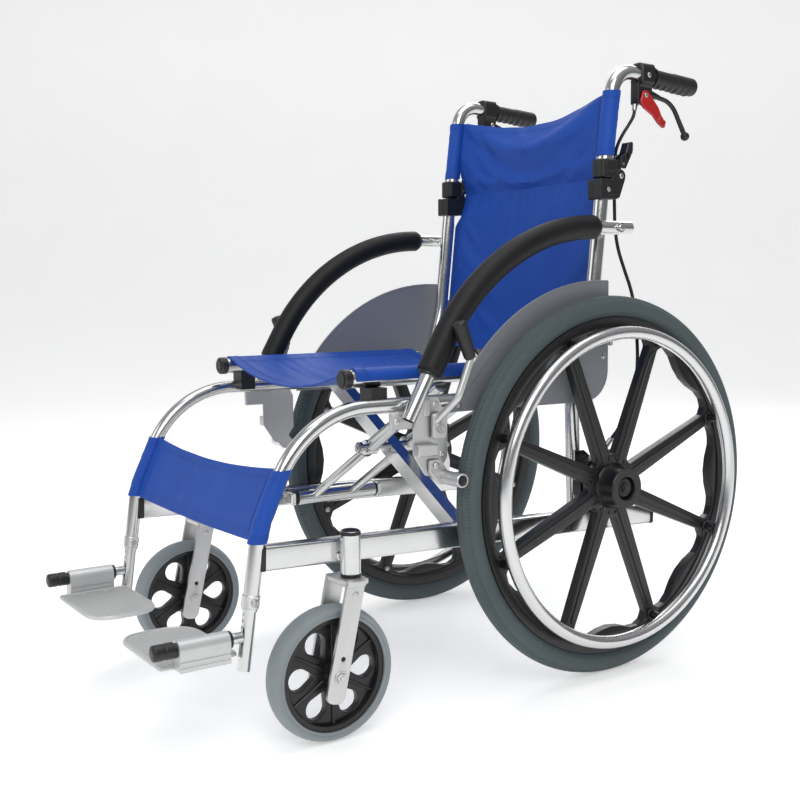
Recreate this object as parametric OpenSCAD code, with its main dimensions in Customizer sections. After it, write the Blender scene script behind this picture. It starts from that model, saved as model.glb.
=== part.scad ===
// Folding manual wheelchair with cross-brace frame, flip-up armrests, fold-down back and swivel casters.
// Millimetres. +Z up, front towards -Y, +X is the occupant's left. Inside the modules Y is counted from
// the rear axle, and every node is placed so that the origin is the centre of the footprint.

/* [Rear wheels] */
// Outside diameter of the rear tyre
wheel_d = 560; // [540:5:600]
// Width of the rear tyre
tyre_w = 34; // [30:1:38]
// Distance from the middle of the chair to the middle of the rear tyre
wheel_x = 239; // [238:1:244]
// Diameter of the push rim, measured at the middle of its tube
handrim_d = 454; // [440:2:480]
// Diameter of the push rim's tube
handrim_tube_d = 19; // [16:0.5:20]
// Number of spokes in the rear wheel
spoke_count = 8; // [6:1:10]

/* [Casters] */
// Outside diameter of the caster wheel
caster_d = 175; // [165:1:178]
// Width of the caster tyre
caster_w = 32; // [26:1:34]
// Distance from the middle of the chair to the caster's swivel axis
caster_x = 224.5; // [224:0.1:226]
// Swivel axis, in front of the rear axle
caster_front = 442; // [438:1:444]
// Distance from the swivel axis to the caster's axle
caster_trail = 33; // [30:1:34]

/* [Frame] */
// Distance from the middle of the chair to the front tube
front_tube_x = 203.5; // [203:0.5:204]
// Diameter of the front tube
front_tube_d = 20; // [19:0.5:20]
// Height of the upper side rail's axis
side_rail_z = 419; // [418:0.5:420]
// Distance from the middle of the chair to the back post
post_x = 190; // [189:0.5:190]
// Diameter of the back post
post_d = 22; // [20:0.5:22]
// Height of the armrest pivot
arm_z = 659; // [655:1:662]
// Height of the push grip at its front end
grip_z = 892; // [885:1:895]

/* [Seat and cross brace] */
// Distance from the middle of the chair to the seat rail
seat_rail_x = 185; // [184:0.5:186]
// Height of the seat rail's axis
seat_rail_z = 455; // [454:0.5:456]
// Diameter of the seat rail
seat_rail_d = 24; // [22:0.5:24]
// Distance from the middle of the chair to the cross brace's lower pivot
pivot_x = 176; // [175:0.5:176]
// Height of the cross brace's lower pivot
pivot_z = 232; // [231:0.5:233]

/* [Footrest] */
// Length of the footplate across the chair
footplate_l = 148; // [130:2:150]
// Width of the footplate along the chair
footplate_w = 102; // [90:2:104]

/* [Hidden] */
$fn = 48;
wall = 1.6;
fit = 0.05;
gap = 0.5;
bite = 0.4;
step = 0.06;

// Front and back ends of the whole chair, measured from the rear axle
front_end = 703;
axle_y = (front_end - wheel_d / 2) / 2;
wheel_r = wheel_d / 2;
axle_z = wheel_r;

// Lower rail: a rectangular tube that drops slightly towards the back
rail_w = 22;
rail_h = 31;
rail_out_x = 212.5;
rail_front_y = -562;
rail_back_y = 123;
rail_front_z = 258;
rail_slope = 2;
rail_len = rail_back_y - rail_front_y;

// Front tube: upper side rail, bend, sloping stretch under the calf strap, lower leg
front_r = front_tube_d / 2;
leg_lean = 0.14;
leg_end = [-575, 180];
front_path = [[-41, side_rail_z, 0], [-494, side_rail_z, 142], [-562, 273, 90], [leg_end[0], leg_end[1], 0]];

// Back post, from the lower rail to the fold hinge, and its upper part
post_r = post_d / 2;
post_path = [[-25, 240.4, 0], [-30, 405, 120], [8, 540, 160], [29.6, 732, 0]];
upper_path = [[30.2, 737, 0], [51, grip_z + 5, 38], [215, grip_z - 6, 0]];
hinge_y = 54;
hinge_z = 738;
hinge_pin_r = 4;

// Y of the post's and the upper post's axis at a height near the fold hinge.
// Point between two path points, with no bend of its own.
function along(a, b, t) = [a[0] + t * (b[0] - a[0]), a[1] + t * (b[1] - a[1]), 0];

function on_line(a, b, z) = a[0] + (b[0] - a[0]) * (z - a[1]) / (b[1] - a[1]);
function post_at(z) = on_line(post_path[2], post_path[3], z);
function upper_at(z) = on_line(upper_path[0], upper_path[1], z);

// Armrest tube and the foam pad on it
arm_x = 225;
arm_r = 10;
arm_pivot_y = 21;
arm_path = [[50, arm_z, 0], [-205, arm_z - 1, 318], [-352, 400, 0]];
pad_from = along(arm_path[0], arm_path[1], 0.275);
pad_to = along(arm_path[1], arm_path[2], 0.772);
pad_path = [pad_from, arm_path[1], pad_to];
pad_r = 17.5;

// Cross brace: both bars pass through one centre pivot and end at the seat rails
brace_rise = 208;
brace_slope = brace_rise / (pivot_x + seat_rail_x);
brace_angle = atan(brace_slope);
centre_z = pivot_z + pivot_x * brace_slope;
bar_a_y = -232;
strut_y = -268;
rear_arm_y = -196;
sleeve_r = 12.5;
sleeve_front = -300;
sleeve_back = -152;
pivot_rod_r = 8;
centre_bolt_r = 5;

// Hub, stub axle and brake drum
axle_r = 8;
hub_r = 30;
hub_in = 222.5;
hub_out = 276;
hub_recess = 262;
rim_out_r = 249;
rim_in_r = 231;
spoke_turn = 22.5;

// Caster fork
fork_half = 22.5;
fork_t = 5;
fork_w = 27;
crown_z = 200;
stem_r = 8;
head_r = 13;
caster_r = caster_d / 2;
caster_core_r = 0.84 * caster_r;

// Footrest
foot_r = 8.4;
foot_pin_r = 7;
foot_z = 134;
foot_hinge_y = -592;
foot_hinge_front = -672;
foot_hinge_back = -606;
footplate_back = -588;
foot_hinge_x = 190;
foot_hinge_z = 148;

// Colours
polished = [0.83, 0.84, 0.85];
satin = [0.72, 0.73, 0.74];
plastic = [0.08, 0.08, 0.09];
foam = [0.1, 0.1, 0.11];
cloth = [0.13, 0.22, 0.62];
tyre_grey = [0.24, 0.29, 0.29];
caster_grey = [0.45, 0.48, 0.49];
guard_grey = [0.5, 0.5, 0.51];
lock_red = [0.75, 0.09, 0.08];

// ---------- shared shapes ----------

// Everything is drawn from the rear axle and moved so that the footprint is centred.
module placed() {
  translate([0, axle_y, 0]) children();
}

// Left parts are drawn as they are, right parts are their mirror image.
module sided(side) {
  placed() mirror([side == "right" ? 1 : 0, 0, 0]) children();
}

// Round bar between two points.
module rod(p, q, r) {
  d = q - p;
  flat = norm([d[0], d[1]]);
  translate(p)
    rotate([0, atan2(flat, d[2]), atan2(d[1], d[0])])
      cylinder(h = norm(d), r = r);
}

// Bar along X.
module rod_x(x0, x1, y, z, r) {
  translate([x0, y, z]) rotate([0, 90, 0]) cylinder(h = x1 - x0, r = r);
}

// Bar along Y.
module rod_y(x, y0, y1, z, r) {
  translate([x, y0, z]) rotate([-90, 0, 0]) cylinder(h = y1 - y0, r = r);
}

// Box between two opposite corners.
module block(a, b) {
  translate(a) cube(b - a);
}

// Outline in the side view, extruded across the chair from x0 to x1.
module side_plate(x0, x1) {
  translate([x0, 0, 0]) rotate([90, 0, 90]) linear_extrude(height = x1 - x0) children();
}

// Angle, in the side view, of the step from one path point to the next.
function step_angle(path, i) = atan2(path[i + 1][1] - path[i][1], path[i + 1][0] - path[i][0]);
// How sharply the path turns at one of its inner points.
function turn_at(path, i) =
  let (t = step_angle(path, i) - step_angle(path, i - 1))
  t > 180 ? t - 360 : t < -180 ? t + 360 : t;
// Length that the bend at one point takes from each neighbouring straight.
function bend_reach(path, i) =
  i == 0 || i == len(path) - 1 ? 0 : path[i][2] * tan(abs(turn_at(path, i)) / 2);

// Profile of a bent tube: a disc, or a ring where a bore is given.
module tube_profile(r, bore) {
  difference() {
    circle(r = r, $fn = 48);
    if (bore > 0) circle(r = bore, $fn = 48);
  }
}

// Tube in the side view through a list of [y, z, bend radius] points. Each straight bites a little way
// into its bends and is a hair thinner than they are, so that the pieces join into one clean solid.
module bent_tube(path, x, r, bore = 0) {
  translate([x, 0, 0]) rotate([90, 0, 90]) {
    for (i = [0 : len(path) - 2]) {
      a = step_angle(path, i);
      full = norm([path[i + 1][0] - path[i][0], path[i + 1][1] - path[i][1]]);
      from = bend_reach(path, i) - (i > 0 ? bite : 0);
      to = full - bend_reach(path, i + 1) + (i < len(path) - 2 ? bite : 0);
      translate([path[i][0], path[i][1], 0])
        rotate([0, 0, a])
          translate([from, 0, 0])
            rotate([0, 90, 0])
              linear_extrude(height = to - from)
                tube_profile(r - step, bore > 0 ? bore + step : 0);
    }
    for (i = [1 : len(path) - 2]) {
      a = step_angle(path, i - 1);
      turn = turn_at(path, i);
      side = turn > 0 ? 1 : -1;
      radius = path[i][2];
      start = [
        path[i][0] - bend_reach(path, i) * cos(a),
        path[i][1] - bend_reach(path, i) * sin(a)
      ];
      centre = start + side * radius * [-sin(a), cos(a)];
      translate([centre[0], centre[1], 0])
        rotate([0, 0, (turn > 0 ? a - 90 : a + 90 + turn)])
          rotate_extrude(angle = abs(turn), $fn = 96)
            translate([radius, 0]) tube_profile(r, bore);
    }
  }
}

// ---------- side frame ----------

module bottom_rail(side) {
  sided(side) color(polished) {
    difference() {
      translate([rail_out_x - rail_w, rail_front_y, rail_front_z])
        rotate([-rail_slope, 0, 0])
          difference() {
            translate([0, 0, -rail_h]) cube([rail_w, rail_len, rail_h]);
            translate([wall, -1, wall - rail_h])
              cube([rail_w - 2 * wall, rail_len + 2, rail_h - 2 * wall]);
          }
      rod([front_tube_x, leg_end[0], leg_end[1]],
          [front_tube_x, leg_end[0] + leg_lean * 100, leg_end[1] + 100], front_r + fit);
      rod_z(caster_x, -caster_front, 200, 280, stem_r + fit);
    }
    caster_head();
    pivot_rod();
  }
}

// Upright bar.
module rod_z(x, y, z0, z1, r) {
  translate([x, y, z0]) cylinder(h = z1 - z0, r = r);
}

// Head tube of the caster, welded to the outside of the lower rail.
module caster_head() {
  difference() {
    rod_z(caster_x, -caster_front, 208, 268, head_r);
    rod_z(caster_x, -caster_front, 207, 264, stem_r + fit);
  }
}

// Rod on two ears, on which the cross bar's sleeve turns.
module pivot_rod() {
  rail_in_x = rail_out_x - rail_w;
  rod_y(pivot_x, sleeve_front - 14, sleeve_back + 14, pivot_z, pivot_rod_r);
  for (y = [sleeve_front - 14, sleeve_back + 4])
    block([pivot_x - 10, y, pivot_z - 11], [rail_in_x + 1, y + 10, pivot_z + 11]);
}

module front_tube(side) {
  sided(side) color(polished) bent_tube(front_path, front_tube_x, front_r, front_r - 1.5);
}

module back_post(side) {
  sided(side) color(polished) {
    bent_tube(post_path, post_x, post_r, post_r - wall);
    axle_mount();
    rod_x(post_x + post_r - wall / 2, arm_x + arm_r + 0.5, arm_pivot_y, arm_z, 4);
    rod_x(arm_x + arm_r + 0.5, arm_x + arm_r + 3.5, arm_pivot_y, arm_z, 7);
  }
}

// Gusset between the post and the lower rail, which carries the stub axle.
module axle_mount() {
  plate_x0 = 201.2;
  plate_x1 = 203.5;
  difference() {
    union() {
      block([184, -26, 262], [plate_x1, 16, 298]);
      side_plate(plate_x0, plate_x1)
        polygon([[-36, 240], [-36, 330], [-18, 330], [22, 300], [34, 262], [34, 238]]);
    }
    rod([post_x, on_line(post_path[0], post_path[1], 200), 200],
        [post_x, post_path[1][0], post_path[1][1]], post_r - 0.6);
  }
  rod_x(plate_x1 - 1, hub_recess + 0.5, 0, axle_z, axle_r);
  rod_x(hub_recess + 0.5, hub_recess + 8, 0, axle_z, 11);
}

// Plastic saddles on the side rail, in which the seat rail rests.
module saddles(side) {
  sided(side) color(plastic)
    for (y = [-395, -150])
      difference() {
        block([176, y, side_rail_z - 3], [205, y + 24, seat_rail_z - 6]);
        rod_y(front_tube_x, y - 1, y + 25, side_rail_z, front_r + fit);
        rod_y(seat_rail_x, y - 1, y + 25, seat_rail_z, seat_rail_d / 2 + 0.4);
        block([188, y - 1, seat_rail_z - 12], [206, y + 25, seat_rail_z]);
      }
}

module side_guard(side) {
  guard_x = 214.2;
  guard_r = 302;
  bottom = side_rail_z - front_r - 5;
  corner = 45;
  back = 18;
  sided(side) color(guard_grey) {
    side_plate(guard_x, guard_x + 2.5)
      intersection() {
        translate([0, axle_z]) circle(r = guard_r, $fn = 120);
        union() {
          translate([-276, bottom]) square([276 + back - corner, 220]);
          translate([-276, bottom + corner]) square([276 + back, 220]);
          translate([back - corner, bottom + corner]) circle(r = corner);
        }
      }
    for (p = [[-262, 413], [8, 548], [8, 470], [-120, 413]])
      rod_x(guard_x + 2.4, guard_x + 4.2, p[0], p[1], 4);
  }
}

// Plate under the side rail that carries the parking brake and backs the armrest's foot.
module side_bracket(side) {
  plate_x = 214.2;
  plate_t = 3;
  screw_r = 4;
  sided(side) color(satin) {
    difference() {
      union() {
        side_plate(plate_x, plate_x + plate_t)
          polygon([
            [-322, 428], [-298, 428], [-282, 398], [-282, 345],
            [-300, 322], [-318, 322], [-338, 352], [-338, 388]
          ]);
        block([plate_x, -338, 350], [plate_x + 16, -300, 366]);
        block([plate_x, -321, 402], [plate_x + 5, -311, 426]);
      }
      rod_x(plate_x - 1, plate_x + 25, park_pivot[0], park_pivot[1], park_pin_r + fit);
      rod_x(plate_x - 1, plate_x + 25, shoe_pivot[0], shoe_pivot[1], shoe_pin_r + fit);
    }
    block([209, -372, side_rail_z - 32], [plate_x + 0.2, -325, side_rail_z - front_r - fit]);
    for (p = [[-292, 350], [-302, 418]])
      rod_x(plate_x + plate_t - 0.1, plate_x + plate_t + 2, p[0], p[1], screw_r);
  }
}

// ---------- casters ----------

module caster_fork(side) {
  axle_z = caster_r;
  foot = [-484, 55];
  head = [-450, crown_z];
  lean = atan2(head[0] - foot[0], head[1] - foot[1]);
  sided(side) color(satin) {
    difference() {
      for (s = [-1, 1])
        translate([caster_x + s * (fork_half + fork_t / 2) - fork_t / 2, head[0], head[1] + 7])
          rotate([-lean, 0, 0])
            translate([0, -fork_w / 2, -norm(foot - head) - 7])
              cube([fork_t, fork_w, norm(foot - head) + 7]);
      rod_x(caster_x - 40, caster_x + 40, -caster_front - caster_trail + 4, axle_z + 23, 3);
      block([caster_x - 40, -500, crown_z + 7], [caster_x + 40, -400, crown_z + 30]);
    }
    block([caster_x - fork_half - 1, -464, crown_z], [caster_x + fork_half + 1, -429, crown_z + 7]);
    rod_z(caster_x, -caster_front, crown_z + 6, 262, stem_r);
    rod_x(caster_x - fork_half - fork_t - 1, caster_x + fork_half + fork_t + 1,
          -caster_front - caster_trail, axle_z, 4);
    for (s = [-1, 1])
      translate([caster_x + s * (fork_half + fork_t + 2.5), 0, 0])
        rod_x(-2.5, 2.5, -caster_front - caster_trail, axle_z, 7);
  }
}

// Places a wheel drawn about the Z axis on its axle.
module on_axle(x, y, z) {
  translate([x, y, z]) rotate([0, 90, 0]) children();
}

module caster_tyre(side) {
  sided(side) color(caster_grey)
    on_axle(caster_x, -caster_front - caster_trail, caster_r)
      rotate_extrude($fn = 96)
        intersection() {
          translate([caster_core_r, -caster_w / 2]) square([caster_r - caster_core_r, caster_w]);
          translate([caster_r - 30, 0]) circle(r = 30);
        }
}

module caster_core(side) {
  web = 12;
  window_r = 15;
  window_at = 48;
  sided(side) color(plastic)
    on_axle(caster_x, -caster_front - caster_trail, caster_r)
      difference() {
        union() {
          rotate_extrude($fn = 96)
            translate([caster_core_r - 8, 4 - caster_w / 2]) square([8, caster_w - 8]);
          translate([0, 0, -web / 2]) cylinder(h = web, r = caster_core_r - 4);
          translate([0, 0, -fork_half + gap]) cylinder(h = 2 * (fork_half - gap), r = 14);
        }
        translate([0, 0, -30]) cylinder(h = 60, r = 4 + fit);
        for (i = [0 : 5])
          rotate([0, 0, i * 60 + 30])
            translate([window_at, 0, -20]) linear_extrude(height = 40) {
              circle(r = window_r);
              polygon([[-26, 0], [-8.6, 12.3], [-8.6, -12.3]]);
            }
      }
}

// ---------- rear wheels ----------

module rear_tyre(side) {
  bulge = 17;
  sided(side) color(tyre_grey)
    on_axle(wheel_x, 0, axle_z)
      rotate_extrude($fn = 120)
        intersection() {
          translate([wheel_r - bulge, 0]) circle(r = bulge);
          translate([rim_out_r, -tyre_w / 2]) square([wheel_r - rim_out_r, tyre_w]);
        }
}

module rear_core(side) {
  rim_w = 25;
  spoke_t = 18;
  spoke_in_w = 26;
  spoke_out_w = 18;
  lug_r = 6;
  sided(side) color(plastic)
    on_axle(wheel_x, 0, axle_z)
      difference() {
        union() {
          rotate_extrude($fn = 120)
            translate([rim_in_r, -rim_w / 2]) square([rim_out_r - rim_in_r, rim_w]);
          translate([0, 0, hub_in - wheel_x]) cylinder(h = hub_out - hub_in, r = hub_r);
          for (i = [0 : spoke_count - 1])
            rotate([0, 0, spoke_turn + i * 360 / spoke_count]) {
              translate([0, 0, -spoke_t / 2])
                linear_extrude(height = spoke_t)
                  polygon([
                    [20, -spoke_in_w / 2], [rim_in_r + 2, -spoke_out_w / 2],
                    [rim_in_r + 2, spoke_out_w / 2], [20, spoke_in_w / 2]
                  ]);
              translate([handrim_d / 2, 0, 0])
                cylinder(h = 272 - handrim_tube_d / 2 - 0.1 - wheel_x, r = lug_r);
            }
        }
        translate([0, 0, -40]) cylinder(h = 100, r = axle_r + fit);
        translate([0, 0, hub_recess - wheel_x]) cylinder(h = 40, r = 14);
      }
}

module handrim(side) {
  sided(side) color(polished)
    on_axle(272, 0, axle_z)
      rotate_extrude($fn = 120)
        translate([handrim_d / 2, 0]) tube_profile(handrim_tube_d / 2, 0);
}

// Fixed cover of the band brake on the hub's inner side.
module drum_brake(side) {
  drum_r = 41;
  sided(side) color(plastic)
    difference() {
      union() {
        rod_x(204, hub_in - 1, 0, axle_z, drum_r);
        block([206, 4, axle_z + 34], [218, 36, axle_z + 48]);
      }
      rod_x(200, 230, 0, axle_z, axle_r + fit);
    }
}

// ---------- armrest and parking brake ----------

module arm_tube(side) {
  sided(side) color(polished)
    difference() {
      bent_tube(arm_path, arm_x, arm_r, arm_r - 1.5);
      rod_x(arm_x - 20, arm_x + 20, arm_pivot_y, arm_z, 4 + fit);
    }
}

module arm_pad(side) {
  sided(side) color(foam) bent_tube(pad_path, arm_x, pad_r, arm_r + 2 * fit);
}

// Pivots of the parking brake's lever and of its shoe.
park_pivot = [-300, 386];
park_pin_r = 4;
shoe_pivot = [-306, 336];
shoe_pin_r = 3.5;
brake_x = 221;
brake_pin_x = 214.6;

// Lever of the parking brake. Its rod leans outwards, so that the grip passes beside the armrest.
module park_lever(side) {
  knee = [brake_x + 3, -305, 396];
  elbow = [254, -292, 428];
  grip_low = [254, -271, 478];
  grip_top = [254, -289, 526];
  grip_r = 10;
  rod_r = 5;
  along = (grip_top - grip_low) / norm(grip_top - grip_low);
  sided(side) color(plastic) {
    rod_x(brake_pin_x, brake_x + 1, park_pivot[0], park_pivot[1], park_pin_r);
    side_plate(brake_x, brake_x + 6)
      polygon([[-312, 372], [-292, 372], [-288, 396], [-296, 408], [-312, 406]]);
    rod(knee, elbow, rod_r);
    translate(elbow) sphere(r = rod_r + 0.6);
    rod(elbow, grip_low + 4 * along, rod_r);
    rod(grip_low, grip_top, grip_r);
    rod(grip_top - along, grip_top + 3 * along, grip_r - 2);
  }
}

module park_shoe(side) {
  shoe_y = -290.5;
  shoe_z = 319;
  shoe_r = 9.5;
  plate_half = 2.5;
  sided(side) color(satin) {
    side_plate(brake_x - plate_half, brake_x + plate_half)
      polygon([[-316, 344], [-298, 344], [-282, 322], [-286, 311], [-300, 311], [-316, 328]]);
    rod_x(brake_pin_x, brake_x + 4, shoe_pivot[0], shoe_pivot[1], shoe_pin_r);
    difference() {
      rod_x(brake_x - 2, 262, shoe_y, shoe_z, shoe_r);
      rod_x(brake_x + 4, 263, shoe_y, shoe_z, shoe_r - 2);
    }
  }
}

// ---------- back: hinge, upper post, grip, levers ----------

module back_hinge(side) {
  sided(side) color(plastic) {
    difference() {
      union() {
        block([post_x - 14, 12, 703], [post_x + 14, 44, 732]);
        for (x = [post_x - 14, post_x + 9])
          side_plate(x, x + 5) {
            translate([hinge_y, hinge_z]) circle(r = 10);
            polygon([[34, 732], [34, 706], [52, 706], [64, 738], [hinge_y - 9.5, 741]]);
          }
      }
      rod([post_x, post_at(680), 680], [post_x, post_at(744), 744], post_r + fit);
    }
    rod_x(post_x - 14, post_x + 14, hinge_y, hinge_z, hinge_pin_r);
  }
}

module upper_post(side) {
  sided(side) color(polished) {
    difference() {
      union() {
        bent_tube(upper_path, post_x, post_r, post_r - wall);
        difference() {
          rod([post_x, upper_at(749), 749], [post_x, upper_at(765), 765], 13.5);
          rod([post_x, upper_at(737), 737], [post_x, upper_at(775), 775], post_r - wall / 2);
        }
        difference() {
          union() {
            block([post_x - 8.4, 41, hinge_z], [post_x + 8.4, hinge_y, hinge_z + 10]);
            rod_x(post_x - 8.4, post_x + 8.4, hinge_y, hinge_z, 10);
          }
          rod([post_x, upper_at(720), 720], [post_x, upper_at(765), 765], post_r - wall / 2);
          block([post_x - 9, 30, hinge_z - 12], [post_x + 9, 43.6, hinge_z - 1]);
        }
        side_plate(post_x - 4, post_x + 4)
          polygon([[44, 750], [60, 746], [70, 756], [66, 764], [44, 762]]);
      }
      rod_x(post_x - 20, post_x + 20, hinge_y, hinge_z, hinge_pin_r + fit);
    }
    rod_x(post_x - 9, post_x + 9, release_pivot[0], release_pivot[1], 2.5);
  }
}

release_pivot = [64, 757];

module release_lever(side) {
  sided(side) color(plastic)
    difference() {
      union() {
        for (x = [post_x - 8, post_x + 4.5])
          side_plate(x, x + 3.5)
            polygon([[58, 752], [70, 750], [78, 764], [74, 776], [60, 768]]);
        side_plate(post_x - 8, post_x + 8)
          polygon([[72, 766], [78, 762], [86, 778], [86, 792], [76, 790], [70, 774]]);
      }
      rod_x(post_x - 20, post_x + 20, release_pivot[0], release_pivot[1], 2.5 + fit);
    }
}

// Height of the grip's axis at a distance behind the rear axle.
function grip_at(y) = on_grip(upper_path[1], upper_path[2], y);
function on_grip(a, b, y) = a[1] + (b[1] - a[1]) * (y - a[0]) / (b[0] - a[0]);

lever_pivot = [118, 868];
lever_pin_r = 3;
lock_pivot = [108, 862];

// Rubber grip on the end of the upper post, and the brake lever's housing in front of it.
module push_grip(side) {
  sided(side) color(plastic) {
    difference() {
      grip_body();
      rod([post_x, 120, grip_at(120)], [post_x, 215.2, grip_at(215.2)], post_r + fit);
    }
    lever_housing();
  }
}

module grip_body() {
  grip_r = 14;
  front = 129;
  back = 219;
  rib_pitch = 12;
  rod([post_x, front, grip_at(front)], [post_x, back, grip_at(back)], grip_r);
  rod([post_x, back, grip_at(back)], [post_x, back + 4, grip_at(back + 4)], grip_r - 2);
  for (i = [0 : 5])
    let (y = front + 11 + rib_pitch * i)
      rod([post_x, y, grip_at(y) - 2], [post_x, y + 5, grip_at(y + 5) - 2], grip_r - 0.5);
}

module lever_housing() {
  clamp_half = 13.5;
  ear = post_x + 6.5;
  slot_half = 4.5;
  difference() {
    union() {
      block([post_x - clamp_half, 98, 874], [post_x + clamp_half, 127, 911]);
      side_plate(post_x - 10, ear)
        polygon([[96, 880], [96, 850], [104, 846], [126, 860], [127, 880]]);
    }
    rod([post_x, 90, grip_at(90)], [post_x, 130, grip_at(130)], post_r + fit);
    side_plate(post_x - slot_half, post_x + slot_half)
      polygon([[110, 842], [110, 876], [130, 876], [130, 842]]);
  }
  rod_x(post_x - 9, ear - 1, lever_pivot[0], lever_pivot[1], lever_pin_r);
  rod_x(ear - 1, post_x + 12, lock_pivot[0], lock_pivot[1], lever_pin_r);
}

module hand_lever(side) {
  lever_path = [[118, 868, 0], [176, 858, 42], [208, 809, 0]];
  sided(side) color(plastic)
    difference() {
      union() {
        rod_x(post_x - 4, post_x + 4, lever_pivot[0], lever_pivot[1], 7);
        bent_tube(lever_path, post_x, 4);
        translate([post_x, 208, 809]) sphere(r = 7);
      }
      rod_x(post_x - 10, post_x + 10, lever_pivot[0], lever_pivot[1], lever_pin_r + fit);
    }
}

module lock_lever(side) {
  sided(side) color(lock_red)
    difference() {
      union() {
        rod_x(post_x + 7, post_x + 11.5, lock_pivot[0], lock_pivot[1], 7.5);
        side_plate(post_x + 7, post_x + 11.5)
          polygon([[104, 857], [112, 868], [134, 838], [152, 826], [148, 815], [122, 832]]);
      }
      rod_x(post_x, post_x + 20, lock_pivot[0], lock_pivot[1], lever_pin_r + fit);
    }
}

// Brake cable, from the lever's housing past the hinge and down to the drum.
cable_r = 2.6;
cable_points = [
  [187, 99, 846], [187, 96, 832], [186, 87, 818], [182, 79, 804], [175, 76, 790], [170, 76, 776],
  [168, 76, 750], [168, 76, 720], [168, 77, 690], [170, 77, 660], [174, 80, 630], [180, 87, 600],
  [188, 93, 570], [195, 95, 540], [201, 94, 500], [206, 91, 460], [209, 83, 420], [210, 67, 385],
  [211, 48, 360], [212, 28, 342]
];

// Directions along the cable, and rings of points around them.
function cable_dir(i) =
  let (n = len(cable_points))
  let (a = cable_points[max(i - 1, 0)], b = cable_points[min(i + 1, n - 1)])
  (b - a) / norm(b - a);
function cable_side(i) = let (s = cross(cable_dir(i), [1, 0, 0])) s / norm(s);
cable_sides = 8;
cable_rings = [
  for (i = [0 : len(cable_points) - 1])
    let (s = cable_side(i), t = cross(cable_dir(i), s))
    for (k = [0 : cable_sides - 1])
      let (a = 360 * k / cable_sides)
      cable_points[i] + cable_r * (cos(a) * s + sin(a) * t)
];
cable_faces = concat(
  [[for (k = [0 : cable_sides - 1]) k]],
  [
    for (i = [0 : len(cable_points) - 2])
      for (k = [0 : cable_sides - 1])
        let (n = (k + 1) % cable_sides, a = i * cable_sides, b = a + cable_sides)
        [a + k, b + k, b + n, a + n]
  ],
  [[for (k = [cable_sides - 1 : -1 : 0]) (len(cable_points) - 1) * cable_sides + k]]
);

module brake_cable(side) {
  sided(side) color(plastic) polyhedron(points = cable_rings, faces = cable_faces);
}

// ---------- footrest ----------

module foot_hanger(side) {
  up = 40;
  down = 74;
  cap_r = 10;
  cap_from = foot_hinge_front - 5;
  top = [front_tube_x, leg_end[0] + leg_lean * up, leg_end[1] + up];
  bottom = [front_tube_x, leg_end[0] - leg_lean * down, leg_end[1] - down];
  over = [0, 5 * leg_lean, 5];
  sided(side) color(polished) {
    difference() {
      union() {
        rod(bottom, top, foot_r);
        rod_y(front_tube_x, cap_from, foot_hinge_y + 5, foot_hinge_z, foot_pin_r);
      }
      rod(bottom - over, top + over, foot_r - 1.4);
    }
    rod_y(front_tube_x, -front_end, cap_from, foot_hinge_z + 1, cap_r);
  }
}

module footplate(side) {
  tip_r = 34;
  plate_t = 5;
  plate_z = foot_hinge_z - 26;
  barrel_r = 12;
  block_half = 11;
  inner_x = front_tube_x - 12 - footplate_l;
  front = footplate_back - footplate_w;
  sided(side) color(satin) {
    difference() {
      union() {
        rod_y(front_tube_x, foot_hinge_front, foot_hinge_back, foot_hinge_z, barrel_r);
        block([front_tube_x - block_half, foot_hinge_front, plate_z],
              [front_tube_x + block_half, foot_hinge_back, foot_hinge_z - 6]);
      }
      rod_y(front_tube_x, -front_end, foot_hinge_y, foot_hinge_z, foot_pin_r + fit);
    }
    translate([0, 0, plate_z])
      linear_extrude(height = plate_t) {
        translate([inner_x + tip_r, front]) square([footplate_l - tip_r + 2, footplate_w]);
        translate([inner_x, front + tip_r]) square([tip_r + 1, footplate_w - 2 * tip_r]);
        for (y = [front + tip_r, front + footplate_w - tip_r])
          translate([inner_x + tip_r, y]) circle(r = tip_r);
      }
  }
}

// ---------- cross brace with seat rails ----------

// Seat rail with its end cap. Each is welded to a bar, the left one to bar B and the right one to bar A.
module seat_rail(side) {
  front = -418;
  back = -50;
  sided(side) color(polished) {
    difference() {
      rod_y(seat_rail_x, front, back, seat_rail_z, seat_rail_d / 2);
      rod_y(seat_rail_x, front + 2, back + 1, seat_rail_z, seat_rail_d / 2 - wall);
    }
    rod_y(seat_rail_x, front - 10, front, seat_rail_z, seat_rail_d / 2 + 0.5);
  }
}

// Space that a seat rail takes out of the bar below it.
module rail_cut(s) {
  rod_y(s * seat_rail_x, -330, -120, seat_rail_z, seat_rail_d / 2 + fit);
}

// Sleeve that turns on the lower pivot rod.
module pivot_sleeve(s) {
  difference() {
    rod_y(s * pivot_x, sleeve_front, sleeve_back, pivot_z, sleeve_r);
    rod_y(s * pivot_x, sleeve_front - 1, sleeve_back + 1, pivot_z, pivot_rod_r + fit);
  }
}

// Rectangular bar from the left pivot up to the right seat rail, with the centre bolt.
module cross_bar_a() {
  bar_w = 20;
  bar_h = 24;
  placed() color(polished) {
    pivot_sleeve(1);
    difference() {
      translate([pivot_x, bar_a_y, pivot_z])
        rotate([0, brace_angle, 0])
          translate([-420, -bar_w / 2, -bar_h / 2]) cube([420, bar_w, bar_h]);
      block([-250, -300, 300], [2.5 - seat_rail_x, -150, 500]);
      rail_cut(-1);
      rod_y(pivot_x, -300, -150, pivot_z, pivot_rod_r + 1.5);
    }
    rod_y(0, strut_y - 17, rear_arm_y + 17, centre_z, centre_bolt_r);
    for (y = [strut_y - 20, rear_arm_y + 16])
      rod_y(0, y, y + 4, centre_z, 9);
  }
  seat_rail("right");
}

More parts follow.
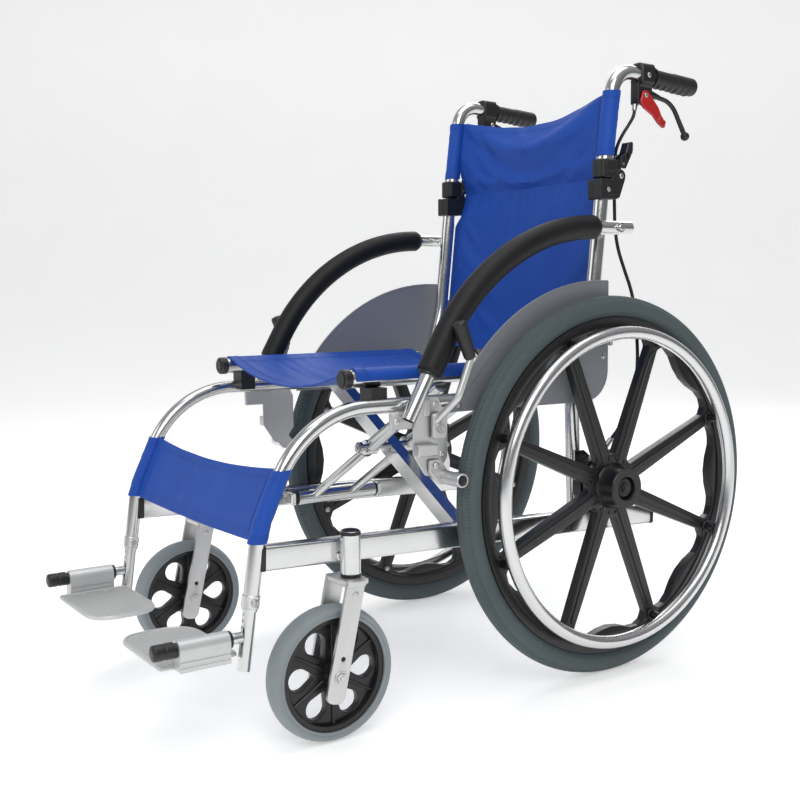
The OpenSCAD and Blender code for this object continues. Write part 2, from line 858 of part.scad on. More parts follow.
// Two round struts from the right pivot up to the left seat rail, one on each side of bar A.
module cross_bar_b() {
  thin_r = 7;
  thick_r = 10;
  placed() color(polished) {
    pivot_sleeve(-1);
    difference() {
      union() {
        for (y = [strut_y, rear_arm_y]) {
          rod(on_brace(0) + [0, y, 0], on_brace(0.55) + [0, y, 0], thin_r);
          rod(on_brace(0.46) + [0, y, 0], on_brace(0.994) + [0, y, 0], thick_r);
          rod_y(0, y - 10, y + 10, centre_z, 11.5);
        }
      }
      rail_cut(1);
      rod_y(0, -300, -150, centre_z, centre_bolt_r + fit);
      rod_y(-pivot_x, -300, -150, pivot_z, pivot_rod_r + 1.5);
    }
  }
  seat_rail("left");
}

// Point on the brace's centre line, from the right pivot (0) to the left seat rail (1).
function on_brace(t) = [-pivot_x + t * (pivot_x + seat_rail_x), 0, pivot_z + t * brace_rise];

// ---------- upholstery ----------

// Half of the seat sling. It sags from the seat rail to the middle of the chair.
module seat_half(side) {
  sag = 14;
  edge = seat_rail_x - seat_rail_d / 2 - gap;
  cloth_t = 5;
  sided(side) color(cloth)
    translate([0, -60, seat_rail_z])
      rotate([90, 0, 0])
        linear_extrude(height = 352)
          polygon([[gap, -sag], [edge, 3], [edge, 3 - cloth_t], [gap, -sag - cloth_t]]);
}

// Back panels between the posts. They follow the posts' lean.
module back_panel(outline, half = post_x - 14 - gap) {
  side_plate(-half, half) polygon(outline);
}

module back_lower() {
  placed() color(cloth) {
    back_panel([[4, 474], [22, 545], [38.5, 698], [42.5, 698], [26, 545], [8, 474]], post_x - 4);
    back_panel([[38, 694], [40, 705], [47, 733], [51, 733], [44, 705], [42, 694]]);
  }
}

module back_upper() {
  placed() color(cloth)
    back_panel([[47, 742], [37, 765], [41, 800], [49, 862], [54, 862], [46, 800], [42, 765], [52, 742]]);
}

// Strap behind the calves, stretched between the sloping parts of the front tubes.
module calf_strap() {
  half = front_tube_x - front_r - gap;
  placed() color(cloth)
    side_plate(-half, half)
      polygon([
        [-528, 349], [-534, 337], [-558.4, 285], [-564.5, 262],
        [-560.5, 262], [-554.4, 285], [-530, 337], [-524, 349]
      ]);
}

bottom_rail("left");  // bottom_rail_left
bottom_rail("right");  // bottom_rail_right
front_tube("left");  // front_tube_left
front_tube("right");  // front_tube_right
back_post("left");  // back_post_left
back_post("right");  // back_post_right
saddles("left");  // saddles_left
saddles("right");  // saddles_right
side_guard("left");  // side_guard_left
side_guard("right");  // side_guard_right
side_bracket("left");  // side_bracket_left
side_bracket("right");  // side_bracket_right
caster_fork("left");  // caster_fork_left
caster_fork("right");  // caster_fork_right
caster_tyre("left");  // caster_tyre_left
caster_tyre("right");  // caster_tyre_right
caster_core("left");  // caster_core_left
caster_core("right");  // caster_core_right
rear_tyre("left");  // rear_tyre_left
rear_tyre("right");  // rear_tyre_right
rear_core("left");  // rear_core_left
rear_core("right");  // rear_core_right
handrim("left");  // handrim_left
handrim("right");  // handrim_right
drum_brake("left");  // drum_brake_left
drum_brake("right");  // drum_brake_right
arm_tube("left");  // arm_tube_left
arm_tube("right");  // arm_tube_right
arm_pad("left");  // arm_pad_left
arm_pad("right");  // arm_pad_right
park_lever("left");  // park_lever_left
park_lever("right");  // park_lever_right
park_shoe("left");  // park_shoe_left
park_shoe("right");  // park_shoe_right
back_hinge("left");  // back_hinge_left
back_hinge("right");  // back_hinge_right
upper_post("left");  // upper_post_left
upper_post("right");  // upper_post_right
push_grip("left");  // push_grip_left
push_grip("right");  // push_grip_right
release_lever("left");  // release_lever_left
release_lever("right");  // release_lever_right
hand_lever("left");  // hand_lever_left
hand_lever("right");  // hand_lever_right
lock_lever("left");  // lock_lever_left
lock_lever("right");  // lock_lever_right
brake_cable("left");  // brake_cable_left
brake_cable("right");  // brake_cable_right
foot_hanger("left");  // foot_hanger_left
foot_hanger("right");  // foot_hanger_right
footplate("left");  // footplate_left
footplate("right");  // footplate_right
cross_bar_a();
cross_bar_b();
seat_half("left");  // seat_left
seat_half("right");  // seat_right
back_lower();
back_upper();
calf_strap();
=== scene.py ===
import math

import bmesh
import bpy
from mathutils import Matrix, Vector, noise


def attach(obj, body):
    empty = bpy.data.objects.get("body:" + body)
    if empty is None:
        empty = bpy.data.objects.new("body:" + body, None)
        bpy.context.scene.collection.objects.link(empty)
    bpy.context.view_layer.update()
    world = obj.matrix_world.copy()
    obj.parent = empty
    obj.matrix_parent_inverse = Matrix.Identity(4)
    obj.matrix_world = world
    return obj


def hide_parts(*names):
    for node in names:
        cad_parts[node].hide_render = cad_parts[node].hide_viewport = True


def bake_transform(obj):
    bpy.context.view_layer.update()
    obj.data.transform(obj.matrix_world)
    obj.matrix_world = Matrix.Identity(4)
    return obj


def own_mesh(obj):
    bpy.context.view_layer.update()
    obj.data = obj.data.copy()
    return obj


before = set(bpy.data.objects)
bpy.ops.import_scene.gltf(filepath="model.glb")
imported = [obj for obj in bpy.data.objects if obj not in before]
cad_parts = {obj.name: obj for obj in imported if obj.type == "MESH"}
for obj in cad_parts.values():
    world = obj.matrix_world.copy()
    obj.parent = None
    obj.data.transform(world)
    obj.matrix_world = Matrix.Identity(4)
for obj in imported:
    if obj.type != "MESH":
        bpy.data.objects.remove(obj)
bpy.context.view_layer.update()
SIDES = {"left": 1, "right": -1}  # each side with the sign of its x
AXLE_Y = 211.5  # the rear axle's y in the row frame, mm; shapes below count y from the axle
OUT, IN, UP = (1, 0, 0), (-1, 0, 0), (0, 0, 1)

# Places that several pieces share, in mm, for the left side.
WHEEL_X, WHEEL_Z = 239, 280  # middle of the rear wheel, whose y is 0
WHEEL = (WHEEL_X, 0, WHEEL_Z)
STEM_X, STEM_Y = 224.5, -442  # caster stem
CASTER_HUB = (STEM_X, -475, 87.5)
FRONT_X = 203.5  # front tube and foot hanger
POST_X = 190  # back post and push grip
RAIL_X, RAIL_Z = 185, 455  # seat rail
PIVOT_X, PIVOT_Z = 176, 232  # lower pivot rod of the cross brace
ARM_X, ARM_Z = 225, 659  # armrest tube at its rear end
HINGE_Y, HINGE_Z = 54, 738  # hinge of the folding back
FOOT_Z = 148  # pin of the footplate
AZIMUTH = math.radians(55.847)  # direction the camera looks in


# ---------------------------------------------------------------- camera

def make_camera():
    down, roll = math.radians(5.464), math.radians(-0.491)
    level = math.cos(down)
    ahead = Vector((-math.sin(AZIMUTH) * level, math.cos(AZIMUTH) * level, -math.sin(down)))
    right = ahead.cross(Vector(UP)).normalized()
    up = right.cross(ahead)
    r = right * math.cos(roll) + up * math.sin(roll)
    u = up * math.cos(roll) - right * math.sin(roll)
    cam = bpy.data.objects.new("camera", bpy.data.cameras.new("camera"))
    cam.data.lens = 49.3
    cam.data.sensor_width = 36
    m = Matrix((r, u, -ahead)).transposed().to_4x4()
    m.translation = (1.395, -0.9465, 0.563)
    cam.matrix_world = m
    bpy.context.scene.collection.objects.link(cam)
    bpy.context.scene.camera = cam


make_camera()


# ---------------------------------------------------------------- mesh building, in millimetres

def unit(v):
    return Vector(v).normalized()


def arc_points(p, radii, step=0.1):
    """Polyline through p with its inner corners rounded to radii."""
    p = [Vector(q) for q in p]
    out = [p[0]]
    for i in range(1, len(p) - 1):
        a, b = unit(p[i - 1] - p[i]), unit(p[i + 1] - p[i])
        turn = math.pi - a.angle(b)
        if radii[i] <= 0 or turn < 1e-3:
            out.append(p[i])
            continue
        d = radii[i] * math.tan(turn / 2)
        c = p[i] + unit(a + b) * (radii[i] / math.cos(turn / 2))
        s, e = p[i] + a * d - c, p[i] + b * d - c
        n = max(2, round(turn / step))
        axis = s.cross(e).normalized()
        out += [c + Matrix.Rotation(turn * k / n, 3, axis) @ s for k in range(n + 1)]
    out.append(p[-1])
    return out


def side_path(points, x, step=0.1):
    """Path in the side view from [y, z, bend radius] triples."""
    return arc_points([(x, q[0], q[1]) for q in points], [q[2] for q in points], step)


def arc(x, y, r, angles):
    return [(x + r * math.cos(a), y + r * math.sin(a)) for a in angles]


def ring(r, n=24):
    return arc(0, 0, r, [2 * math.pi * k / n for k in range(n)])


def circle(p, t, r, n, corner=0):
    """n points round p, across the direction t. Every corner-th one stands out a little."""
    u = t.orthogonal().normalized()
    w = t.cross(u)
    out = []
    for k in range(n):
        a = 2 * math.pi * k / n
        reach = r * 1.08 if corner and k % corner == 0 else r
        out.append(p + (u * math.cos(a) + w * math.sin(a)) * reach)
    return out


def rounded_box(w, h, r):
    """Outline of a w by h box with its middle at 0 and corners of radius r."""
    n = 5
    x, y = w / 2 - r, h / 2 - r
    out = []
    for cx, cy, a in ((x, y, 0), (-x, y, 90), (-x, -y, 180), (x, -y, 270)):
        for k in range(n + 1):
            t = math.radians(a + 90 * k / n)
            out.append((cx + r * math.cos(t), cy + r * math.sin(t)))
    return out


def rounded(points, r, n=5):
    """Closed outline with its corners rounded; r is one radius or one for each corner."""
    out, m = [], len(points)
    for i in range(m):
        p, a, b = Vector(points[i]), Vector(points[i - 1]), Vector(points[(i + 1) % m])
        ra = r[i] if isinstance(r, (list, tuple)) else r
        u, v = (a - p).normalized(), (b - p).normalized()
        turn = math.pi - u.angle(v)
        if ra <= 0 or turn < 0.02:
            out.append((p.x, p.y))
            continue
        d = min(ra * math.tan(turn / 2), 0.49 * (a - p).length, 0.49 * (b - p).length)
        s, e = p + u * d, p + v * d
        for k in range(n + 1):
            t = k / n
            q = s * (1 - t) ** 2 + p * 2 * t * (1 - t) + e * t * t
            out.append((q.x, q.y))
    return out


def rect(x0, y0, x1, y1):
    return [(x0, y0), (x1, y0), (x1, y1), (x0, y1)]


def inset(points, b):
    """Closed outline moved inwards by b."""
    out, m = [], len(points)
    area = sum(points[i - 1][0] * points[i][1] - points[i][0] * points[i - 1][1] for i in range(m))
    s = 1 if area > 0 else -1
    for i in range(m):
        p, a, c = Vector(points[i]), Vector(points[i - 1]), Vector(points[(i + 1) % m])
        u, v = p - a, c - p
        u = u.normalized() if u.length > 1e-9 else v.normalized()
        v = v.normalized() if v.length > 1e-9 else u
        n1, n2 = Vector((-u.y, u.x)) * s, Vector((-v.y, v.x)) * s
        n = (n1 + n2)
        n = n.normalized() if n.length > 1e-6 else n1
        q = p + n * b / max(0.5, n.dot(n1))
        out.append((q.x, q.y))
    return out


class Shape:
    """Vertices in millimetres, with y counted from the rear axle, and faces."""

    def __init__(self):
        self.v = []
        self.f = []

    def add(self, verts, faces):
        n = len(self.v)
        self.v += [Vector(p) for p in verts]
        self.f += [tuple(i + n for i in q) for q in faces]
        return self

    def loops(self, rows, closed=False):
        """Skin over rows of equally many points. closed joins the last row to the first."""
        n, v = len(rows[0]), [p for row in rows for p in row]
        f, last = [], len(rows) if closed else len(rows) - 1
        for j in range(last):
            a, b = j * n, ((j + 1) % len(rows)) * n
            f += [(a + k, a + (k + 1) % n, b + (k + 1) % n, b + k) for k in range(n)]
        if not closed:
            f += [tuple(range(n - 1, -1, -1)), tuple(range((len(rows) - 1) * n, len(rows) * n))]
        return self.add(v, f)

    def sweep(self, path, section, scale=None, side=None, closed=False):
        """A closed section carried along a path. side fixes the direction of the section's first axis."""
        path = [Vector(p) for p in path]
        rows, n = [], len(path)
        u = None
        for i, p in enumerate(path):
            t = (path[min(i + 1, n - 1)] - path[max(i - 1, 0)]).normalized()
            if side is not None:
                u = (Vector(side) - t * t.dot(Vector(side))).normalized()
            else:
                u = t.orthogonal() if u is None else u
                u = (u - t * t.dot(u)).normalized()
            w = t.cross(u)
            k = scale[i] if scale else 1
            rows.append([p + u * a * k + w * b * k for a, b in section])
        return self.loops(rows, closed)

    def tube(self, path, r, bore=0, seg=24, side=None):
        """Round bar, or a tube that is open at both ends if it has a bore."""
        if not bore:
            return self.sweep(path, ring(r, seg), side=side)
        out = Shape().sweep(path, ring(r, seg), side=side)
        into = Shape().sweep(path, ring(bore, seg), side=side)
        n = len(out.v)
        f = [q for q in out.f if len(q) == 4]
        f += [tuple(i + n for i in reversed(q)) for q in into.f if len(q) == 4]
        for base in (0, n - seg):
            for k in range(seg):
                a, b = base + k, base + (k + 1) % seg
                f.append((n + a, n + b, b, a) if base == 0 else (a, b, n + b, n + a))
        return self.add(out.v + into.v, f)

    def cyl(self, p, q, r, bevel=0.5, seg=28, bore=0):
        p, q = Vector(p), Vector(q)
        t = (q - p).normalized()
        steps = [(p, r - bevel), (p + t * bevel, r), (q - t * bevel, r), (q, r - bevel)]
        if bore:
            steps += [(q, bore), (p, bore)]
        rows = [circle(c, t, s, seg) for c, s in steps]
        return self.loops(rows, bool(bore))

    def lathe(self, profile, centre, seg=96, shift=None):
        """Closed profile of [x offset, radius] points turned about an axis along X through centre."""
        cx, cy, cz = centre
        rows = []
        for i in range(seg):
            a = 2 * math.pi * i / seg
            row = []
            for j, (x, r) in enumerate(profile):
                r += shift(i, j) if shift else 0
                row.append(Vector((cx + x, cy + r * math.cos(a), cz + r * math.sin(a))))
            rows.append(row)
        n, v, f = len(profile), [p for row in rows for p in row], []
        for i in range(seg):
            a, b = i * n, ((i + 1) % seg) * n
            f += [(a + k, a + (k + 1) % n, b + (k + 1) % n, b + k) for k in range(n)]
        return self.add(v, f)

    def slab(self, outline, a, b, bevel=0.6, axis="x"):
        """Outline extruded from a to b along an axis, with bevelled edges."""
        small = inset(outline, bevel)
        s = 1 if b > a else -1
        rows = []
        for h, o in ((a, small), (a + s * bevel, outline), (b - s * bevel, outline), (b, small)):
            rows.append([{"x": (h, p, q), "y": (p, h, q), "z": (p, q, h)}[axis] for p, q in o])
        return self.loops(rows)

    def box(self, a, b, bevel=1.0):
        (x0, y0, z0), (x1, y1, z1) = a, b
        return self.slab(rounded(rect(y0, z0, y1, z1), bevel, 3), x0, x1, bevel)

    def screw(self, p, out, r=4.0, h=2.4):
        """Pan head with a hex socket, standing on p and facing out."""
        p, t = Vector(p), unit(out)
        head = ((0, r), (0.45 * h, r), (0.8 * h, 0.86 * r), (h, 0.6 * r))
        socket = ((h, 0.42 * r), (0.45 * h, 0.40 * r))
        rows = [circle(p + t * a, t, b, 18) for a, b in head]
        rows += [circle(p + t * a, t, b, 18, 3) for a, b in socket]
        return self.loops(rows)

    def screws(self, x, places, out, r, h):
        """The same screw at several (y, z) places of one upright face."""
        for y, z in places:
            self.screw((x, y, z), out, r, h)
        return self

    def nut(self, p, out, r=7.0, h=5.0):
        """Hexagon nut on its washer, with the bolt's end standing out of it."""
        p, t = Vector(p), unit(out)
        self.cyl(p, p + t * 1.2, r * 1.25, 0.3)
        steps = ((1.2, 0.96), (1.8, 1.0), (h - 0.7, 1.0), (h, 0.92))
        self.loops([circle(p + t * a, t, r * k, 6) for a, k in steps])
        return self.cyl(p + t * h, p + t * (h + 1.6), r * 0.5, 0.5)


def flat_fill(outer, holes, half, bevel):
    """A plate with holes, filled and bevelled by a 2-D curve. Gives its vertices (u, v, w) and faces."""
    c = bpy.data.curves.new("plate", "CURVE")
    c.dimensions, c.fill_mode = "2D", "BOTH"
    c.extrude, c.bevel_depth, c.bevel_resolution, c.offset = half - bevel, bevel, 2, -bevel
    for loop in [outer] + holes:
        s = c.splines.new("POLY")
        s.points.add(len(loop) - 1)
        for p, q in zip(s.points, loop):
            p.co = (q[0], q[1], 0, 1)
        s.use_cyclic_u = True
    o = bpy.data.objects.new("plate", c)
    bpy.context.scene.collection.objects.link(o)
    me = bpy.data.meshes.new_from_object(o.evaluated_get(bpy.context.evaluated_depsgraph_get()))
    v, f = [tuple(x.co) for x in me.vertices], [tuple(p.vertices) for p in me.polygons]
    bpy.data.objects.remove(o)
    bpy.data.curves.remove(c)
    bpy.data.meshes.remove(me)
    return v, f


def mesh_from(name, verts, faces, mats, angle=38, index=()):
    """Object in metres. index gives each face its material, and edges sharper than angle stay sharp."""
    me = bpy.data.meshes.new(name)
    me.from_pydata([(p.x / 1000, (p.y + AXLE_Y) / 1000, p.z / 1000) for p in verts], [], faces)
    for m in mats:
        me.materials.append(m)
    for p, i in zip(me.polygons, index):
        p.material_index = i
    bm = bmesh.new()
    bm.from_mesh(me)
    bmesh.ops.remove_doubles(bm, verts=bm.verts, dist=1e-6)
    bmesh.ops.recalc_face_normals(bm, faces=bm.faces)
    bm.to_mesh(me)
    bm.free()
    me.shade_smooth()
    me.set_sharp_from_angle(angle=math.radians(angle))
    o = bpy.data.objects.new(f"{name}_look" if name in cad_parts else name, me)
    bpy.context.scene.collection.objects.link(o)
    return o


def fitted(o, body):
    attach(o, body)


def piece(shape, name, body, mat, angle=38):
    """The left piece and its mirror image, each on its side's body, for the CAD node of its name."""
    made = []
    for side, sign in SIDES.items():
        verts = [Vector((p.x * sign, p.y, p.z)) for p in shape.v]
        o = mesh_from(f"{name}_{side}", verts, shape.f, [mat], angle)
        fitted(o, f"{body}_{side}")
        if f"{name}_{side}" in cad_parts:
            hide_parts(f"{name}_{side}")
        made.append(o)
    return made


# ---------------------------------------------------------------- materials


def tuned(node, **values):
    """The node with the inputs named in values set. Underscores stand for spaces."""
    for name, value in values.items():
        node.inputs[name.replace("_", " ")].default_value = value
    return node


def noise_node(nodes, link, vector, scale, detail):
    n = tuned(nodes.new("ShaderNodeTexNoise"), Scale=scale, Detail=detail)
    link(vector, n.inputs["Vector"])
    return n.outputs["Fac"]


def blended(nodes, link, factor, a, b):
    mix = nodes.new("ShaderNodeMix")
    mix.data_type = "RGBA"
    link(factor, mix.inputs["Factor"])
    for name, value in (("A", a), ("B", b)):
        if isinstance(value, tuple):
            mix.inputs[name].default_value = (*value, 1)
        else:
            link(value, mix.inputs[name])
    return mix.outputs["Result"]


def maths(nodes, link, kind, *inputs):
    n = nodes.new("ShaderNodeMath")
    n.operation = kind
    for socket, value in zip(n.inputs, inputs):
        if isinstance(value, float):
            socket.default_value = value
        else:
            link(value, socket)
    return n.outputs["Value"]


def woven(nodes, link, at, thread, rough):
    """Height of a plain weave whose threads lie this many metres apart, with the rough noise on it."""
    sep = nodes.new("ShaderNodeSeparateXYZ")
    link(at, sep.inputs["Vector"])
    up = maths(nodes, link, "ADD", sep.outputs["Y"], sep.outputs["Z"])
    waves = [maths(nodes, link, "SINE", maths(nodes, link, "MULTIPLY", v, 2 * math.pi / thread))
             for v in (sep.outputs["X"], up)]
    return maths(nodes, link, "MULTIPLY_ADD", maths(nodes, link, "MULTIPLY", *waves), 0.5, rough)


def material(name, base, rough, metal=0.0, spread=0.08, tint=0.12, grain=120.0, bump=0.15, fine=700.0,
             coat=0.0, weave=0.0, ior=1.5, dust=0.0):
    """Surface whose colour and roughness drift with noise, with fine relief, and dust or a weave."""
    m = bpy.data.materials.new(name)
    m.use_nodes = True
    nodes, link = m.node_tree.nodes, m.node_tree.links.new
    b = tuned(nodes["Principled BSDF"], Metallic=metal, Coat_Weight=coat, Coat_Roughness=0.15, IOR=ior)
    at = nodes.new("ShaderNodeTexCoord").outputs["Object"]
    grit = noise_node(nodes, link, at, grain, 4)
    r = tuned(nodes.new("ShaderNodeMapRange"), To_Min=max(0.02, rough - spread), To_Max=rough + spread)
    link(grit, r.inputs["Value"])
    link(r.outputs["Result"], b.inputs["Roughness"])
    dark, pale = tuple(c * (1 - tint) for c in base), tuple(min(1, c * (1 + tint)) for c in base)
    colour = blended(nodes, link, noise_node(nodes, link, at, 9.0, 3), dark, pale)
    if dust:
        ramp = tuned(nodes.new("ShaderNodeMapRange"), From_Min=0.55, From_Max=0.8, To_Max=dust)
        link(grit, ramp.inputs["Value"])
        colour = blended(nodes, link, ramp.outputs["Result"], colour, (0.32, 0.31, 0.29))
    link(colour, b.inputs["Base Color"])
    height = noise_node(nodes, link, at, fine, 2)
    if weave:
        height = woven(nodes, link, at, weave, height)
    bp = tuned(nodes.new("ShaderNodeBump"), Strength=bump, Distance=0.0004)
    link(height, bp.inputs["Height"])
    link(bp.outputs["Normal"], b.inputs["Normal"])
    return m


POLISHED = material("polished", (0.63, 0.635, 0.63), 0.20, 1.0, spread=0.07, tint=0.04,
                    grain=60, bump=0.05, fine=900)
RIM = material("polished_rim", (0.66, 0.66, 0.66), 0.24, 1.0, spread=0.05, tint=0.04,
               grain=45, bump=0.06, fine=900)
SATIN = material("satin", (0.62, 0.62, 0.615), 0.40, 0.92, spread=0.07, tint=0.06,
                 grain=160, bump=0.14, fine=1400)
ANODISED = material("anodised", (0.60, 0.605, 0.60), 0.40, 0.5, spread=0.06, tint=0.05,
                    grain=90, bump=0.1, fine=1200)
ZINC = material("zinc", (0.50, 0.50, 0.49), 0.32, 1.0, spread=0.08, tint=0.08, grain=300,
                bump=0.1)
BLACK = material("black_plastic", (0.010, 0.010, 0.011), 0.42, spread=0.08, tint=0.25,
                 grain=200, bump=0.22, fine=1500)
WHEEL_BLACK = material("wheel_plastic", (0.008, 0.008, 0.009), 0.36, spread=0.07,
                       tint=0.3, grain=140, bump=0.18, fine=1300)
FOAM = material("foam", (0.0065, 0.0065, 0.0075), 0.52, spread=0.07, tint=0.2, grain=260,
                bump=0.3, fine=1000, ior=1.38)
RUBBER = material("grip_rubber", (0.010, 0.010, 0.010), 0.50, spread=0.08, tint=0.2,
                  grain=220, bump=0.3, fine=1100)
TYRE = material("tyre", (0.062, 0.084, 0.089), 0.66, spread=0.09, tint=0.16, grain=110, bump=0.3,
                fine=900, dust=0.06)
CASTER = material("caster_rubber", (0.235, 0.268, 0.282), 0.52, spread=0.09, tint=0.10,
                  grain=120, bump=0.2, fine=900, dust=0.04)
GUARD = material("guard", (0.205, 0.216, 0.234), 0.46, spread=0.05, tint=0.05, grain=300,
                 bump=0.2, fine=1600)
RED = material("red_plastic", (0.42, 0.010, 0.010), 0.34, spread=0.07, tint=0.15,
               grain=200, bump=0.1, coat=0.2)
CLOTH = material("nylon", (0.0085, 0.068, 0.380), 0.50, spread=0.06, tint=0.10, grain=60,
                 bump=0.3, fine=500, weave=0.0011, ior=1.36)
HEM = material("hem", (0.0080, 0.064, 0.360), 0.52, spread=0.06, tint=0.10, grain=80, bump=0.3,
               fine=500, weave=0.0011, ior=1.36)
THREAD = material("thread", (0.010, 0.062, 0.36), 0.60, spread=0.06, tint=0.1, grain=900,
                  bump=0.3, fine=2500)
CABLE = material("cable_sheath", (0.010, 0.010, 0.011), 0.38, spread=0.08, tint=0.2, grain=400,
                 bump=0.12)


# ---------------------------------------------------------------- kept CAD nodes

def keep(names, mat):
    """CAD nodes that stay as they are and only get a new material."""
    for name in names:
        for node in ([name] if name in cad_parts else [f"{name}_{s}" for s in SIDES]):
            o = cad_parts[node]
            o.data.materials.clear()
            o.data.materials.append(mat)
            for p in o.data.polygons:
                p.material_index = 0
            o.data.shade_smooth()
            o.data.set_sharp_from_angle(angle=math.radians(35))


keep(["back_post", "upper_post", "cross_bar_a", "cross_bar_b"], POLISHED)
keep(["saddles", "drum_brake"], BLACK)


# ---------------------------------------------------------------- rear wheels

SPOKES = [22.5 + 45 * i for i in range(8)]  # angle of each spoke, in degrees
LUG_R = 227  # radius of the handrim and of the lugs that hold it


def polar(r, a):
    return (r * math.cos(math.radians(a)), r * math.sin(math.radians(a)))


def turned(points, a):
    c, s = math.cos(math.radians(a)), math.sin(math.radians(a))
    return [(x * c - y * s, x * s + y * c) for x, y in points]


def lifted(points, dy, dz):
    return [(x + dy, y + dz) for x, y in points]


def rear_tyre():
    """Tyre turned from its section, with ribs near the rim and notched shoulders."""
    start, n = math.asin(14 / 17), 40
    angles = [-start + (math.pi + 2 * start) * k / n for k in range(n + 1)]
    profile = []
    for t in angles:
        r = 17 + (0.5 if abs(math.degrees(t) + 22) < 5 or abs(math.degrees(t) - 202) < 5 else 0)
        profile.append((r * math.cos(t), 263 + r * math.sin(t)))

    def tread(i, j):
        t = math.degrees(angles[j])
        if 38 < t < 58 or 122 < t < 142:
            return -2.0 if i % 2 else 0
        return -0.9 if abs(t - 78) < 4 or abs(t - 102) < 4 else 0

    piece(Shape().lathe(profile, WHEEL, 640, shift=tread), "rear_tyre", "rear_wheel", TYRE, 24)


def rear_core():
    """Eight spokes between eight windows cut out of a disc, with the rim and the hub turned."""
    s = Shape()
    window = [polar(46, -6.5), polar(46, 6.5)]
    for r in (90, 140, 190, 217):
        half_spoke = 13 - 4 * (r - 46) / 175
        window.append(polar(r, 22.5 - math.degrees(math.asin(half_spoke / r))))
    window += [polar(227, 17.9), polar(229.5, 14.5), polar(226, 10.5), polar(217, 5.5), polar(213.5, 0)]
    window += [(x, -y) for x, y in reversed(window[2:-1])]
    window = rounded(window, [7, 7] + [0] * 3 + [6, 5, 4, 4, 0, 0, 0, 4, 4, 5, 6] + [0] * 3, 5)
    v, f = flat_fill(ring(236, 144), [turned(window, a - SPOKES[0]) for a in SPOKES], 7.5, 1.4)
    s.add([(WHEEL_X + w, y, WHEEL_Z + z) for y, z, w in v], f)
    rim = [(-12.5, 249), (-12.5, 237), (-11.5, 233.5), (-9, 231.5), (9, 231.5), (11.5, 233.5),
           (12.5, 237), (12.5, 249), (10, 249.2), (9, 247.5), (-9, 247.5), (-10, 249.2)]
    s.lathe(rim, WHEEL, 180)
    hub = [(222.6, 10), (222.6, 36), (224, 38.5), (229, 38.5), (231.5, 34), (247, 34), (250, 31.5),
           (262, 29.8), (274.6, 30), (276, 28.7), (276, 19), (274.5, 17), (265, 15.5), (264, 10)]
    s.lathe(hub, (0, 0, WHEEL_Z), 72)
    for a in SPOKES:
        rib = rounded([(33, -5.2), (206, -3.4), (213, 0), (206, 3.4), (33, 5.2)], [1, 2, 3, 2, 1], 3)
        for x0, x1 in ((245.5, 248.6), (232.5, 229.6)):
            s.slab(lifted(turned(rib, a), 0, WHEEL_Z), x0, x1, 1.0)
        y, z = polar(LUG_R, a)
        s.cyl((245, y, WHEEL_Z + z), (248.9, y, WHEEL_Z + z), 10.5, 1.2)
        s.cyl((248, y, WHEEL_Z + z), (262.4, y, WHEEL_Z + z), 6.2, 0.6)
        s.cyl((232, y, WHEEL_Z + z), (229.8, y, WHEEL_Z + z), 8.5, 0.8)
        for k in range(2):
            y2, z2 = polar(41, a + 22.5 * (2 * k - 1) * 0.55)
            s.cyl((246, y2, WHEEL_Z + z2), (248.4, y2, WHEEL_Z + z2), 2.2, 0.5, 12)
    piece(s, "rear_core", "rear_wheel", WHEEL_BLACK, 34)


def handrim():
    lugs = [polar(LUG_R, a) for a in SPOKES]
    s = Shape().screws(229.8, lifted(lugs, 0, WHEEL_Z), IN, 4.6, 2.2)
    y, z = polar(241, 90)
    s.cyl((WHEEL_X, y, WHEEL_Z + z - 14), (WHEEL_X, y, WHEEL_Z + z - 34), 3.2, 0.6, 14)  # tyre valve
    piece(s, "handrim_bolts", "rear_wheel", ZINC)
    section = lifted(ring(9.5, 28), 0, LUG_R)
    piece(Shape().lathe(section, (272, 0, WHEEL_Z), 180), "handrim", "rear_wheel", RIM, 60)


def hub_fixings():
    s = Shape().cyl((270, 0, WHEEL_Z), (271, 0, WHEEL_Z), 13.2, 0.4)
    s.nut((270.9, 0, WHEEL_Z), OUT, 7.6, 3.4)
    s.cyl((204, 0, WHEEL_Z), (201, 0, WHEEL_Z), 13, 0.6)
    piece(s, "axle_nut", "frame", BLACK)
    places = [polar(33, 72 * i + 18) for i in range(5)]
    s = Shape().screws(204.1, lifted(places, 0, WHEEL_Z), IN, 4.2, 2.4)
    s.lathe([(204.2, 20), (202.6, 21), (202.6, 25), (204.2, 26)], (0, 0, WHEEL_Z), 48)
    piece(s, "drum_screws", "frame", ZINC)


for part in (rear_tyre, rear_core, handrim, hub_fixings):
    part()


# ---------------------------------------------------------------- casters

